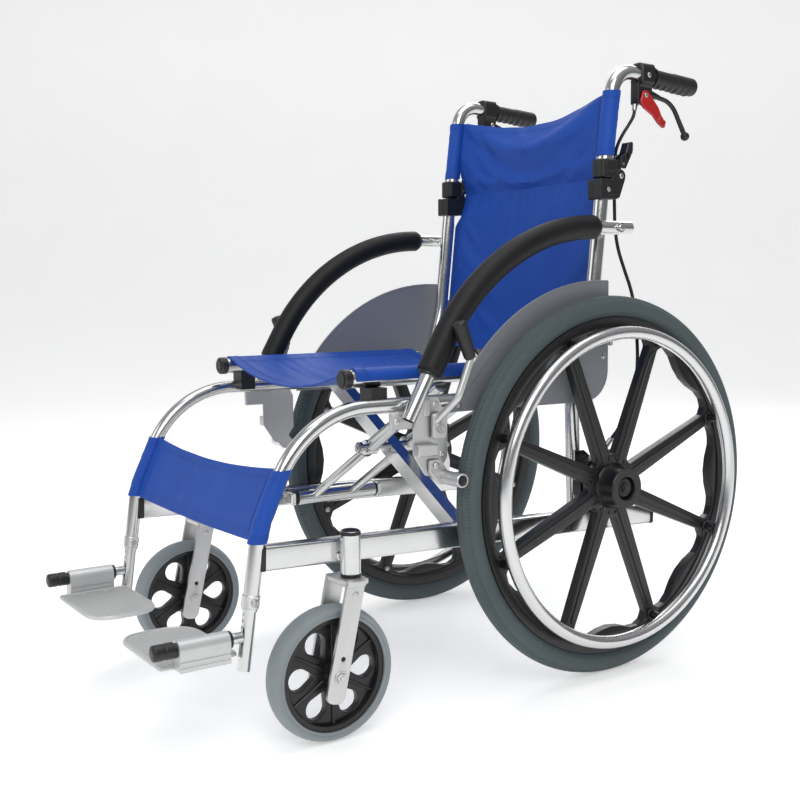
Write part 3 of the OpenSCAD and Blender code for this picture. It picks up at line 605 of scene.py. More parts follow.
def caster_wheel():
    """Solid tyre with a groove at its edge, and a core with six drop-shaped windows."""
    x0, y0, z0 = CASTER_HUB
    curve = arc(0, 57.5, 30, [math.radians(57.8 + (180 - 115.6) * k / 18) for k in range(19)])
    side = [(16, 82.6), (16, 78.6), (15.4, 78), (15.4, 77.4), (16, 76.8), (16, 74.6), (15.2, 73.4)]
    profile = [(-x, r) for x, r in reversed(side)] + list(reversed(curve[1:-1])) + side
    piece(Shape().lathe(profile, CASTER_HUB, 160), "caster_tyre", "caster_wheel", CASTER, 40)
    s = Shape()
    drop = [polar(14.5, a) for a in range(-124, 125, 8)]
    drop = rounded([(48 + x, y) for x, y in drop] + [(23, 0)], [0] * len(drop) + [3.5], 5)
    v, f = flat_fill(ring(68, 96), [turned(drop, 60 * i) for i in range(6)], 6, 1.2)
    s.add([(x0 + w, y0 + y, z0 + z) for y, z, w in v], f)
    s.lathe([(-12.5, 73.4), (-13, 71), (-12, 66.5), (-9, 64.8), (9, 64.8), (12, 66.5), (13, 71),
             (12.5, 73.4), (8, 73.4), (-8, 73.4)], CASTER_HUB, 120)
    s.lathe([(-21.6, 5), (-21.6, 9), (-19.5, 9.6), (-19, 13), (-17, 14), (-7, 16.5), (7, 16.5), (17, 14),
             (19, 13), (19.5, 9.6), (21.6, 9), (21.6, 5)], CASTER_HUB, 48)
    for i in range(6):
        rib = rounded([(12, -2.6), (66, -1.8), (66, 1.8), (12, 2.6)], 0.8, 3)
        for a, b in ((229.5, 233.2), (219.5, 215.8)):
            s.slab(lifted(turned(rib, 60 * i + 30), y0, z0), a, b, 0.8)
    piece(s, "caster_core", "caster_wheel", WHEEL_BLACK, 34)


def caster_fork():
    x0, y0, z0 = CASTER_HUB
    s = Shape()
    head, foot = Vector((-450, 207)), Vector((-484, 55))
    d = (foot - head).normalized()
    n = Vector((-d.y, d.x)) * 13.5
    leg = rounded([(-436.3, 207), (-463.2, 207), foot - n, foot + n], [3, 3, 12, 12], 8)
    for x in (199.5, 249.5):
        v, f = flat_fill(leg, [lifted(ring(3.2, 18), -471, 110.5)], 2.5, 0.7)
        s.add([(x + w, y, z) for y, z, w in v], f)
    s.slab(rounded(rect(201.5, -464, 247.5, -429), 3, 4), 199.8, 207, 1.2, "z")
    s.cyl((STEM_X, STEM_Y, 206), (STEM_X, STEM_Y, 262), 8, 0.5)
    for x in (199.5, 249.5):
        s.slab(rounded(rect(x - 4.5, -463, x + 4.5, -437), 2, 3), 199.5, 206.8, 0.8, "z")
    for x, o in ((252, 1), (197, -1)):
        s.nut((x, y0, z0), (o, 0, 0), 7.2, 4.6)
        s.screw((x, -452, 190), (o, 0, 0), 4.2, 1.8)
    s.cyl((197, y0, z0), (252, y0, z0), 4, 0.3)
    piece(s, "caster_fork", "caster_swivel", SATIN, 34)


caster_wheel()
caster_fork()


# ---------------------------------------------------------------- side frames

def rail_top(y):
    """Height of the bottom rail's upper face, which falls by 2 degrees to the rear."""
    return 258 - math.tan(math.radians(2)) * (y + 562)


def lower_rail():
    """Bottom rail with the caster head tube and the lower pivot rod, and their plastic caps."""
    s = Shape()
    ys = [-560 + 680 * k / 20 for k in range(21)]
    s.sweep([(201.5, y, rail_top(y) - 15.5) for y in ys], rounded_box(22, 31, 3.4), side=OUT)
    s.cyl((STEM_X, STEM_Y, 208), (STEM_X, STEM_Y, 266), 13, 0.8, 40, bore=9)
    s.cyl((PIVOT_X, -314, PIVOT_Z), (PIVOT_X, -138, PIVOT_Z), 8, 0.8)
    for y in (-314, -148):
        s.box((166.5, y, 221.5), (192, y + 10, 242.5), 2.0)
    s.slab(rounded([(-457, 236), (-427, 236), (-430, 226), (-454, 226)], 2), 210, 216, 0.8)
    piece(s, "bottom_rail", "frame", POLISHED, 36)
    cap = Shape().lathe([(3.8, 0.1), (3.4, 6), (2.2, 10.5), (0, 13.4), (-4, 13.4), (-4, 9), (-4, 0.1)],
                        (0, 0, 0), 36)
    s = Shape()
    for y0, y1 in ((-562.5, -556), (117, 123.3)):
        s.sweep([(201.5, y, rail_top(y) - 15.5) for y in (y0, (y0 + y1) / 2, y1)],
                rounded_box(23, 32, 3.8), side=OUT)
    s.add([(STEM_X + p.y, STEM_Y + p.z, 265 + p.x) for p in cap.v], cap.f)
    s.cyl((STEM_X, STEM_Y, 207.4), (STEM_X, STEM_Y, 211.5), 13.5, 0.8, 40)
    piece(s, "rail_caps", "frame", BLACK)


def front_tube():
    s = Shape().tube(side_path([(-41, 419, 0), (-494, 419, 142), (-562, 273, 90), (-575, 180, 0)],
                               FRONT_X, 0.06), 10, 8.5, 36, side=OUT)
    s.cyl((FRONT_X, -574.6, 183), (FRONT_X, -572.3, 199), 11.4, 0.8, 36)
    piece(s, "front_tube", "frame", POLISHED, 40)
    s = Shape().cyl((FRONT_X, -48, 419), (FRONT_X, -40.6, 419), 10.9, 0.8, 36)
    s.cyl((FRONT_X, -41.6, 419), (FRONT_X, -38, 419), 7.6, 0.5, 30)
    for y in (-303.4, -151.6):
        s.cyl((PIVOT_X, y, PIVOT_Z), (PIVOT_X, y + 3, PIVOT_Z), 13.0, 0.6, 32, bore=8.4)
    piece(s, "tube_rings", "frame", BLACK)
    s = Shape().screw((214.8, -573.5, 191), OUT, 5.4, 3.2)
    s.cyl((192.5, -573.5, 191), (190.8, -573.5, 191), 4.4, 0.5)
    s.screw((238.4, 21, ARM_Z), OUT, 5.2, 2.4)
    s.screw((FRONT_X, 8, 314), OUT, 4.0, 2.4)
    for y0, y1 in ((-314, -316), (-138, -136)):
        s.cyl((PIVOT_X, y0, PIVOT_Z), (PIVOT_X, y1, PIVOT_Z), 7, 0.6)
    piece(s, "frame_screws", "frame", ZINC)


def side_guard():
    guard = [(-274.5, 405), (-27, 404)]
    for k in range(1, 11):
        a = math.pi / 2 * k / 10
        guard.append((-27 + 45 * math.sin(a), 449 - 45 * math.cos(a)))
    top, low = math.atan2(301.5, 18), math.atan2(124, -275.4)
    guard += arc(0, WHEEL_Z, 302, [top + (low - top) * k / 44 for k in range(45)])
    s = Shape().slab(guard, 214.2, 216.7, 0.7)
    edge = [Vector((215.4, y, z)) for y, z in inset(guard[12:-1], 1.0)]
    s.sweep(edge, ring(1.9, 10))
    piece(s, "side_guard", "frame", GUARD, 34)
    s = Shape()
    for y, z in ((-262, 413), (8, 548), (8, 470), (-120, 413)):
        s.cyl((216.7, y, z), (217.3, y, z), 4.8, 0.25, 24)
        s.screw((217.2, y, z), OUT, 3.4, 1.8)
    piece(s, "guard_screws", "frame", ZINC)


def side_bracket():
    s = Shape().slab(rounded([(-322, 428), (-298, 428), (-282, 398), (-282, 345), (-300, 322),
                              (-318, 322), (-338, 352), (-338, 388)], 6, 4), 214.2, 217.2, 0.6)
    s.box((215.4, -338, 350), (230.2, -306.4, 366), 1.6)
    s.box((215.4, -321, 402), (219.2, -311, 426), 1.2)
    s.box((208.5, -372, 387), (214.4, -325, 409.2), 1.4)
    s.screws(217.1, ((-292, 350), (-302, 418)), OUT, 4.2, 2.0)
    s.screws(214.3, ((-363, 398), (-336, 398)), OUT, 4.4, 2.4)
    piece(s, "side_bracket", "frame", SATIN, 34)


def back_hinge():
    hinge = [(34, 733), (12, 733), (12, 703), (44, 703), (52, 706), (63, 733)]
    hinge += arc(HINGE_Y, HINGE_Z, 10, (0.1, 0.6, 1.1, 1.6, 2.1, 2.6))
    s = Shape()
    for x0, x1 in ((175.8, 181.2), (198.8, 204.2)):
        s.slab(rounded(hinge, 2.0, 3), x0, x1, 1.0)
    s.slab(rounded(rect(176, 12, 204, 44), [10, 10, 3, 3], 8), 703, 732.6, 1.6, "z")
    s.slab(rounded(rect(24, 708, 41, 726), 3, 4), 203.5, 205.2, 0.7)
    s.cyl((176.2, HINGE_Y, HINGE_Z), (203.8, HINGE_Y, HINGE_Z), 4, 0.3)
    piece(s, "back_hinge", "frame", BLACK, 36)
    s = Shape()
    s.screw((204.1, HINGE_Y, HINGE_Z), OUT, 4.0, 2.0)
    s.screw((205.2, 27, 717), OUT, 3.6, 2.0)
    s.screw((175.9, HINGE_Y, HINGE_Z), IN, 4.0, 2.0)
    piece(s, "hinge_screws", "frame", ZINC)
    s = Shape()
    s.slab(rounded(rect(175.9, 16.6, 204.1, 46), [11, 11, 4, 4], 8), 734.8, 762.5, 1.8, "z")
    tongue = [(19.5, 742), (44, 742), (60, 748), (68, 757), (62, 764), (46, 762), (20.5, 761)]
    s.slab(rounded(tongue, 4, 4), 183.5, 196.5, 1.6)
    s.slab(rounded(rect(22, 744, 43, 760), 4, 4), 203.4, 205.2, 0.8)
    piece(s, "hinge_cover", "upper_back", BLACK, 36)


for part in (lower_rail, front_tube, side_guard, side_bracket, back_hinge):
    part()


# ---------------------------------------------------------------- armrest and parking brake

def resample(points, step):
    """Points at even distances along a polyline, with how far along each one is."""
    points = [Vector(p) for p in points]
    lengths = [0]
    for a, b in zip(points, points[1:]):
        lengths.append(lengths[-1] + (b - a).length)
    n = max(2, round(lengths[-1] / step))
    out, j = [], 0
    for k in range(n + 1):
        t = lengths[-1] * k / n
        while j < len(points) - 2 and lengths[j + 1] < t:
            j += 1
        f = (t - lengths[j]) / max(1e-9, lengths[j + 1] - lengths[j])
        out.append(points[j].lerp(points[j + 1], min(1, f)))
    return out, [lengths[-1] * k / n for k in range(n + 1)]


def round_ends(s, total, r, e):
    """Radius at s along a rod of this length whose ends are rounded over the distance e."""
    d = min(s, total - s)
    return r if d >= e else r - e + e * math.sqrt(max(0.0, 1 - ((e - d) / e) ** 2))


def armrest():
    path = side_path([(50, ARM_Z, 0), (-205, 658, 318), (-352, 400, 0)], ARM_X, 0.05)
    s = Shape().tube(path, 10, 8.5, 36, side=OUT)
    s.cyl((ARM_X, 50.2, ARM_Z), (ARM_X, 47, ARM_Z), 9.7, 0.8, 36)
    piece(s, "arm_tube", "armrest", POLISHED, 40)
    path, at = resample(side_path([(-20, 658.7, 0), (-205, 658, 318), (-318.5, 459.2, 0)], ARM_X, 0.03),
                        2.2)
    total = at[-1]
    radii = [round_ends(a, total, 17.5, 5) / 17.5 for a in at]
    s = Shape().sweep(path, ring(17.5, 40), scale=radii, side=OUT)
    for o in piece(s, "arm_pad", "armrest", FOAM, 50):
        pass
    s = Shape()
    for a, b in ((path[0], path[1]), (path[-1], path[-2])):
        d = (b - a).normalized()
        s.cyl(a - d * 2.6, a + d * 1.5, 14.2, 0.9, 36, bore=10.2)
    piece(s, "arm_rings", "armrest", BLACK)


def park_lever():
    s = Shape()
    rod_line = arc_points([(224, -305, 396), (254, -292, 428), (254, -271, 478), (254, -273.5, 485)],
                          [0, 14, 5, 0], 0.15)
    s.tube(rod_line, 5, seg=20)
    plate = rounded([(-312, 372), (-292, 372), (-288, 396), (-296, 408), (-312, 406)], 5, 4)
    s.slab(plate, 221, 227, 0.9)
    s.cyl((214.7, -300, 386), (222, -300, 386), 4, 0.3)
    piece(s, "park_lever", "park_lever", SATIN, 36)
    low, top = Vector((254, -271, 478)), Vector((254, -289, 526))
    path, at = resample([low, top + (top - low).normalized() * 3], 0.8)
    radii = [(round_ends(a, at[-1], 10, 5) - 2.2 * (1 - a / at[-1]) ** 1.5) / 10 for a in at]
    piece(Shape().sweep(path, ring(10, 28), scale=radii, side=OUT), "park_grip", "park_lever", BLACK, 50)
    s = Shape().nut((227, -300, 386), OUT, 6.4, 4.6)
    s.screw((227, -304, 399), OUT, 3.6, 2.0)
    piece(s, "park_bolts", "park_lever", ZINC)


def park_shoe():
    s = Shape().slab(rounded([(-316, 344), (-298, 344), (-282, 322), (-284, 310), (-300, 310),
                              (-316, 328)], 4, 4), 218.5, 223.5, 0.8)
    s.cyl((219, -290.5, 319), (262, -290.5, 319), 9.5, 0.6, 36, bore=7.5)
    s.cyl((219.5, -290.5, 319), (225, -290.5, 319), 8, 0.3)
    s.cyl((214.7, -306, 336), (224.5, -306, 336), 3.5, 0.3)
    s.screw((224.4, -306, 336), OUT, 4.6, 2.2)
    piece(s, "park_shoe", "park_shoe", SATIN, 36)


for part in (armrest, park_lever, park_shoe):
    part()


# ---------------------------------------------------------------- push grips, levers and cables

def grip_z(y):
    """Height of the push grip's axis."""
    return 897 - 0.0671 * (y - 51)


def ball(s, c, r):
    steps = [math.pi * k / 14 for k in range(1, 14)]
    path = [Vector(c) - Vector((0, 0, r * math.cos(t))) for t in steps]
    return s.sweep(path, ring(r, 24), scale=[math.sin(t) for t in steps])


def push_grip():
    """Rubber grip with a collar, finger ridges below and fine ribs above."""
    rows, total = [], 94.0
    n = 120
    for k in range(n + 1):
        t = total * k / n
        y = 129 + t
        if t > 47:
            base = round_ends(t, total, 14.0, 5)
        else:
            base = 15.6 if t < 3.5 else 14.0 - 0.6 * min(1, (t - 3.5) / 3)
        gripped = 8 < t < 84
        row = []
        for j in range(40):
            a = 2 * math.pi * j / 40
            under = max(0.0, -math.sin(a)) ** 1.3
            ridge = 1.9 * under * (0.5 + 0.5 * math.cos(2 * math.pi * (t - 14) / 12.5)) if gripped else 0
            fine = 0.25 if gripped and int(t / 1.6) % 2 and under < 0.3 else 0
            r = base + ridge - fine
            row.append(Vector((POST_X + r * math.cos(a), y, grip_z(y) + r * math.sin(a))))
        rows.append(row)
    piece(Shape().loops(rows), "push_grip", "upper_back", RUBBER, 50)


def lever_housing():
    s = Shape()
    s.slab(rounded(rect(176.5, 879, 203.5, 911), [5, 5, 11, 11], 8), 98, 127, 2.2, "y")
    s.slab(rounded([(180, 874), (196.5, 874), (201, 884), (178, 884)], 2, 4), 99.5, 126, 1.0, "y")
    cheek = rounded([(96, 882), (96, 850), (104, 846), (126, 860), (127, 882)], [2, 4, 4, 6, 2], 5)
    s.slab(cheek, 180, 185.4, 0.9)
    s.slab(cheek, 194.6, 196.6, 0.9)
    front = rounded([(96.3, 882), (96.3, 851), (105, 849), (109.5, 856), (109.5, 882)], 2, 4)
    s.slab(front, 184, 195.5, 0.5)
    piece(s, "lever_housing", "upper_back", BLACK, 36)
    s = Shape()
    s.screw((180, 118, 868), IN, 4.2, 2.0)
    s.screw((190, 112, 910.7), UP, 4.2, 1.8)
    s.screw((203.3, 112, 892), OUT, 4.0, 2.0)
    s.cyl((187, 99.5, 850), (187, 97.5, 840), 3.9, 0.7, 20)
    piece(s, "grip_screws", "upper_back", ZINC)


def hand_lever():
    s = Shape()
    path, at = resample(side_path([(118, 868, 0), (176, 858, 42), (208, 809, 0)], POST_X, 0.06), 2.0)
    s.sweep(path, ring(4.0), scale=[1 - 0.12 * math.sin(math.pi * a / at[-1]) for a in at], side=OUT)
    s.cyl((186, 118, 868), (194, 118, 868), 7, 0.8)
    web = rounded([(114, 874), (124, 874), (150, 866), (148, 860), (120, 861)], 2.5, 4)
    s.slab(web, 187.2, 192.8, 0.9)
    ball(s, (POST_X, 208, 809), 7)
    piece(s, "hand_lever", "hand_lever", BLACK, 50)


def lock_lever():
    s = Shape().slab(rounded([(97, 851), (102, 866), (114, 868), (136, 846), (143, 834), (152, 826),
                              (148, 815), (136, 822), (124, 833), (104, 843)], 4, 4), 197, 201.5, 0.9)
    s.cyl((197, 108, 862), (201.8, 108, 862), 7.5, 0.9)
    s.slab(rounded([(138, 834), (152, 826), (148, 815), (134, 824)], 2.5, 4), 196.8, 202.6, 0.8)
    for k in range(4):
        s.box((202.2, 138 + 3 * k, 821.5 - 1.2 * k), (203.4, 139.4 + 3 * k, 829.5 - 1.2 * k), 0.4)
    piece(s, "lock_lever", "lock_lever", RED, 36)
    piece(Shape().screw((201.7, 108, 862), OUT, 3.6, 1.6), "lock_pin", "upper_back", ZINC)


def release_lever():
    s = Shape()
    for x in (182, 194.5):
        s.slab(rounded([(58, 752), (70, 750), (78, 764), (74, 776), (60, 768)], 3, 4), x, x + 3.5, 0.7)
    s.slab(rounded([(72, 766), (78, 762), (86, 778), (86, 792), (76, 790), (70, 774)], 3, 4), 182, 198, 1.6)
    for k in range(4):
        s.box((184.5, 84.6, 774 + 4 * k), (195.5, 86.9, 775.8 + 4 * k), 0.5)
    piece(s, "release_lever", "release_lever", BLACK, 36)


for part in (push_grip, lever_housing, hand_lever, lock_lever, release_lever):
    part()


def cable(side):
    """Brake cable as a smooth curve through its knots, from the lever on the folding back down to the frame.
    """
    sx = SIDES[side]
    knots = [(187, 99, 846), (187, 96, 832), (186, 87, 818), (182, 79, 804), (175, 76, 790),
             (170, 76, 776), (168, 76, 750), (168, 76, 720), (168, 77, 690), (170, 77, 660),
             (174, 80, 630), (180, 87, 600), (188, 93, 570), (195, 95, 540), (201, 94, 500),
             (206, 91, 460), (209, 83, 420), (210, 67, 385), (211, 48, 360), (212, 28, 342)]
    k = [Vector(p) for p in knots]
    k = [k[0] * 2 - k[1]] + k + [k[-1] * 2 - k[-2]]
    points = []
    for i in range(1, len(k) - 2):
        for j in range(6):
            t = j / 6
            before, here, after, beyond = k[i - 1:i + 3]
            points.append(0.5 * (2 * here + (after - before) * t
                                 + (2 * before - 5 * here + 4 * after - beyond) * t * t
                                 + (3 * here - before - 3 * after + beyond) * t ** 3))
    points.append(k[-2])
    points, at = resample([Vector((p.x * sx, p.y, p.z)) for p in points], 3.0)
    s = Shape().tube(points, 2.6, seg=16, side=OUT)
    o = mesh_from(f"brake_cable_{side}", s.v, s.f, [CABLE], 60)
    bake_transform(o)
    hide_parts(f"brake_cable_{side}")


def cable_stop():
    s = Shape().cyl((212, 30, 343.8), (212, 16, 330.8), 4.2, 0.7, 20)
    s.screw((218, 24, 321), OUT, 4.2, 2.2)
    piece(s, "cable_stop", "frame", ZINC)


for side in SIDES:
    cable(side)
cable_stop()


# ---------------------------------------------------------------- footrests

def foot_hanger():
    s = Shape().tube([(FRONT_X, -585.36, 106), (FRONT_X, -569.4, 220)], 8.4, 7.0, 32, side=OUT)
    s.cyl((FRONT_X, -682, FOOT_Z), (FRONT_X, -587, FOOT_Z), 7, 0.6, 28)
    for k in range(3):
        z = 160 + 8 * k
        y = -575 - 0.14 * (180 - z) - 8.3
        s.cyl((FRONT_X, y, z), (FRONT_X, y - 0.5, z), 2.0, 0.15, 14)
    piece(s, "foot_hanger", "frame", POLISHED, 40)
    s = Shape()
    path, at = resample([(FRONT_X, -703, 149), (FRONT_X, -676.5, 149)], 1.2)
    radii = [round_ends(a, 60, 10, 3.5) / 10 - (0.05 if 14 < a < 16 else 0) for a in at]
    s.sweep(path, ring(10, 32), scale=radii, side=OUT)
    s.cyl((FRONT_X, -605.6, FOOT_Z), (FRONT_X, -602, FOOT_Z), 11, 0.7, 32, bore=7.2)
    s.cyl((FRONT_X, -677, FOOT_Z), (FRONT_X, -672.4, FOOT_Z), 9, 0.7, 32)
    piece(s, "foot_caps", "frame", BLACK)


def footplate():
    s = Shape()
    out = [(192.3, 122.2), (214.7, 122.2), (214.7, 127), (213.6, 127.6), (213.6, 129.4), (214.7, 130),
           (214.7, 134), (213.6, 134.6), (213.6, 136.4), (215.3, 137), (215.5, FOOT_Z)]
    out += arc(FRONT_X, FOOT_Z, 12, [math.pi * k / 14 for k in range(1, 14)])
    out += [(191.5, FOOT_Z), (191.7, 137), (193.4, 136.4), (193.4, 134.6), (192.3, 134), (192.3, 130),
            (193.4, 129.4), (193.4, 127.6), (192.3, 127)]
    s.slab(out, -672, -606, 0.5, "y")
    plate = rounded(rect(43.5, -690, 195, -588), [40, 6, 6, 46], 12)
    s.slab(plate, 122.2, 126.0, 0.9, "z")
    lip = inset(plate, 2.2)
    s.sweep([Vector((x, y, 126.0)) for x, y in lip], ring(1.7, 10), side=UP, closed=True)
    for k in range(23):
        y = -681 + 4 * k
        corner = max(0, abs(y + 639) - 17)  # how far the rib lies inside the plate's rounded corner
        x0 = 83 - math.sqrt(max(0, 34 ** 2 - corner ** 2))
        s.slab(rounded(rect(x0, y - 0.8, 190.5, y + 0.8), 0.6, 2), 125.6, 127.0, 0.5, "z")
    for y in (-655, -622):
        s.screw((183, y, 126.2), UP, 4.4, 1.4)
    piece(s, "footplate", "footplate", ANODISED, 34)


def brace_piece(s, name, body, mat, angle):
    """A piece of the cross brace, which has no mirror image."""
    fitted(mesh_from(name, s.v, s.f, [mat], angle), body)


def centre_nuts():
    s = Shape()
    for y, d in ((-288.2, -1), (-176, 1)):
        s.nut((0, y, 333.4), (0, d, 0), 7.5, 3.6)
    brace_piece(s, "centre_nuts", "bar_a", ZINC, 36)


def strut_ends():
    """Collars where the thick struts of bar B slide over the thin ones."""
    along = unit((361, 0, 208))
    s = Shape()
    for y in (-268, -196):
        p = Vector((-9.9, y, 327.7))
        s.cyl(p - along * 2, p + along * 8, 10.8, 0.7, 36, bore=7.2)
    brace_piece(s, "strut_ends", "bar_b", BLACK, 40)


def rail_caps():
    for x, side, body in ((RAIL_X, "left", "bar_b"), (-RAIL_X, "right", "bar_a")):
        s = Shape().cyl((x, -428.6, RAIL_Z), (x, -416.5, RAIL_Z), 13.2, 1.4, 36)
        s.cyl((x, -430, RAIL_Z), (x, -428.2, RAIL_Z), 9.5, 0.8, 30)
        brace_piece(s, f"rail_cap_{side}", body, BLACK, 40)


for part in (foot_hanger, footplate, centre_nuts, strut_ends, rail_caps):
    part()


# ---------------------------------------------------------------- cloth

def grid_normals(g):
    n, m = len(g), len(g[0])
    out = []
    for i in range(n):
        row = []
        for j in range(m):
            along = g[min(i + 1, n - 1)][j] - g[max(i - 1, 0)][j]
            across = g[i][min(j + 1, m - 1)] - g[i][max(j - 1, 0)]
            row.append(along.cross(across).normalized())
        out.append(row)
    return out


def shell(g, thick, hem):
    """Vertices, faces and materials of a sheet from a grid of points. hem(i, j) says where it is doubled."""
    n, m = len(g), len(g[0])
    nor = grid_normals(g)
    v, f, mat = [], [], []
    for k in (1, -1):
        for i in range(n):
            v += [g[i][j] + nor[i][j] * k * thick * (0.9 if hem(i, j) else 0.5) for j in range(m)]
    at = lambda k, i, j: (0 if k > 0 else n * m) + i * m + j
    for i in range(n - 1):
        for j in range(m - 1):
            h = int(hem(i, j) and hem(i + 1, j) and hem(i, j + 1) and hem(i + 1, j + 1))
            f += [(at(1, i, j), at(1, i + 1, j), at(1, i + 1, j + 1), at(1, i, j + 1)),
                  (at(-1, i, j + 1), at(-1, i + 1, j + 1), at(-1, i + 1, j), at(-1, i, j))]
            mat += [h, h]
    edge = [(i, 0) for i in range(n)] + [(n - 1, j) for j in range(1, m)]
    edge += [(i, m - 1) for i in range(n - 2, -1, -1)] + [(0, j) for j in range(m - 2, 0, -1)]
    for (a, b), (c, d) in zip(edge, edge[1:] + edge[:1]):
        f.append((at(1, a, b), at(-1, a, b), at(-1, c, d), at(1, c, d)))
        mat.append(1)
    return v, f, mat


def stitches(lines):
    """Dashes of thread along lines of (point, normal) pairs."""
    pitch, dash = 4.4, 2.9
    s = Shape()
    for line in lines:
        path, at = resample([p for p, n in line], 0.55)
        step = at[-1] / (len(at) - 1)
        per, on = max(2, round(pitch / step)), max(1, round(dash / step))
        for k in range(0, len(path) - on, per):
            ends = [path[k], path[k + on // 2], path[k + on]]
            s.sweep(ends, ring(0.42, 5), scale=[0.7, 1.15, 0.7], side=line[0][1])
    return s


def drape(g, pinned, slack, frames, seed):
    """The grid after a cloth simulation in which the pinned points stay where they are."""
    n, m = len(g), len(g[0])
    me = bpy.data.meshes.new("drape")
    wob = lambda i, j: 0.003 * noise.noise(Vector((i * 0.23, j * 0.19, seed)))
    verts, faces = [], []
    for i in range(n):
        for j in range(m):
            p = g[i][j]
            verts.append((p.x / 1000, (p.y + AXLE_Y) / 1000, p.z / 1000 + (0 if pinned(i, j) else wob(i, j))))
            a = i * m + j
            if i < n - 1 and j < m - 1:
                faces.append((a, a + m, a + m + 1, a + 1))
    me.from_pydata(verts, [], faces)
    o = bpy.data.objects.new("drape", me)
    bpy.context.scene.collection.objects.link(o)
    group = o.vertex_groups.new(name="pin")
    group.add([i * m + j for i in range(n) for j in range(m) if pinned(i, j)], 1.0, "REPLACE")
    mod = o.modifiers.new("cloth", "CLOTH")
    nylon = dict(quality=7, mass=0.12, air_damping=4.0, tension_stiffness=25, compression_stiffness=25,
                 shear_stiffness=12, bending_stiffness=0.35, tension_damping=12, compression_damping=12,
                 shear_damping=12, vertex_group_mass="pin", shrink_min=-slack)
    for name, value in nylon.items():
        setattr(mod.settings, name, value)
    mod.collision_settings.use_collision = False
    mod.point_cache.frame_start = 1
    mod.point_cache.frame_end = frames
    scene = bpy.context.scene
    for k in range(1, frames + 1):
        scene.frame_set(k)
    got = o.evaluated_get(bpy.context.evaluated_depsgraph_get()).data.vertices
    spots = [Vector((p.co.x * 1000, p.co.y * 1000 - AXLE_Y, p.co.z * 1000)) for p in got]
    out = [spots[i * m:i * m + m] for i in range(n)]
    bpy.data.objects.remove(o)
    bpy.data.meshes.remove(me)
    scene.frame_set(1)
    return out


def spaced(a, b, n, hem):
    """Positions from a to b with a hem of that width at both ends."""
    s = 1 if b > a else -1
    inner = [a + s * hem + (b - a - 2 * s * hem) * k / n for k in range(n + 1)]
    return [a, a + s * hem / 2] + [a + s * (hem - 1)] + inner + [b - s * (hem - 1), b - s * hem / 2, b]


def sheet_object(name, g, thick, hem, lines, place):
    """A stretched cloth with its stitching. place(o) is called on each of the two."""
    v, f, index = shell(g, thick, hem)
    o = mesh_from(name, v, f, [CLOTH, HEM], 60, index)
    t = stitches(lines)
    w = mesh_from(f"{name}_stitching", t.v, t.f, [THREAD], 80)
    for x in (o, w):
        place(x)
    return o


def folds(o, body):
    """Cloth with its own copy of its mesh, fixed to the given body."""
    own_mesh(o)
    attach(o, body)


def grid_lines(g, rows, cols, lift, both=True):
    """Lines of (point, normal) pairs along rows and columns of the grid, lifted off one or both faces."""
    nor = grid_normals(g)
    sides = (1, -1) if both else (1,)
    out = []
    for k in sides:
        for i in rows:
            out.append([(g[i][j] + nor[i][j] * k * lift, nor[i][j] * k) for j in range(len(g[0]))])
        for j in cols:
            out.append([(g[i][j] + nor[i][j] * k * lift, nor[i][j] * k) for i in range(len(g))])
    return out


FINE = 1.0  # how fine the grids of the cloths are


def seat():
    """Seat cloth, wrapped round both rails, with a sag between them."""
    r = 13.3
    ys = spaced(-412, -60, round(50 * FINE), 15)
    wrap = [348 + 102 * k / 14 for k in range(15)]
    section = arc(RAIL_X, RAIL_Z, r, [math.radians(a) for a in wrap])
    n = round(56 * FINE)
    panel = [RAIL_X - 2 * RAIL_X * k / n for k in range(1, n)]
    section += [(x, RAIL_Z + r - 25 * (1 - (x / RAIL_X) ** 2)) for x in panel]
    section += [(-x, z) for x, z in reversed(section[:15])]
    g = [[Vector((x, y, z)) for x, z in section] for y in ys]
    m = len(section)
    free = lambda j: 15 <= j < m - 15
    g = drape(g, lambda i, j: not free(j), 0.006, 60, 3.1)
    hem = lambda i, j: i < 3 or i >= len(ys) - 3
    near = min(range(m), key=lambda j: abs(section[j][0] - 166) + (0 if free(j) else 999))
    cols = [2, near, m - 1 - near, m - 3]
    lines = grid_lines(g, [2, 3, len(ys) - 3, len(ys) - 4], cols, 1.45)
    place = lambda x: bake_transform(x)
    o = sheet_object("seat_cloth", g, 1.5, hem, lines, place)
    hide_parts("seat_left", "seat_right")


def columns(n):
    """Positions across a back cloth, from -1 to 1, with a hem at both edges."""
    return [-1, -0.975, -0.93] + [-0.9 + 1.8 * k / n for k in range(n + 1)] + [0.93, 0.975, 1]


def between(table, z):
    """y at z from a table of [z, y] pairs, straight between them."""
    for (z0, y0), (z1, y1) in zip(table, table[1:]):
        if z <= z1:
            t = max(0.0, (z - z0) / (z1 - z0))
            return y0 + (y1 - y0) * t
    return table[-1][1]


def smooth_table(table, z):
    """The table's value at z, averaged over 5 mm to each side."""
    return sum(between(table, z + 5 * k / 4) for k in range(-4, 5)) / 9


LOWER = [(470, 5), (545, 23.8), (690, 40), (700, 42.5), (712, 47), (724, 51.5), (HINGE_Z, HINGE_Y)]


def lower_y(z):
    return HINGE_Y if z >= HINGE_Z - 0.1 else smooth_table(LOWER, z)


def upper_post_y(z):
    """y of the upper post, which leans back."""
    return 30.2 + 0.13 * (z - 737)


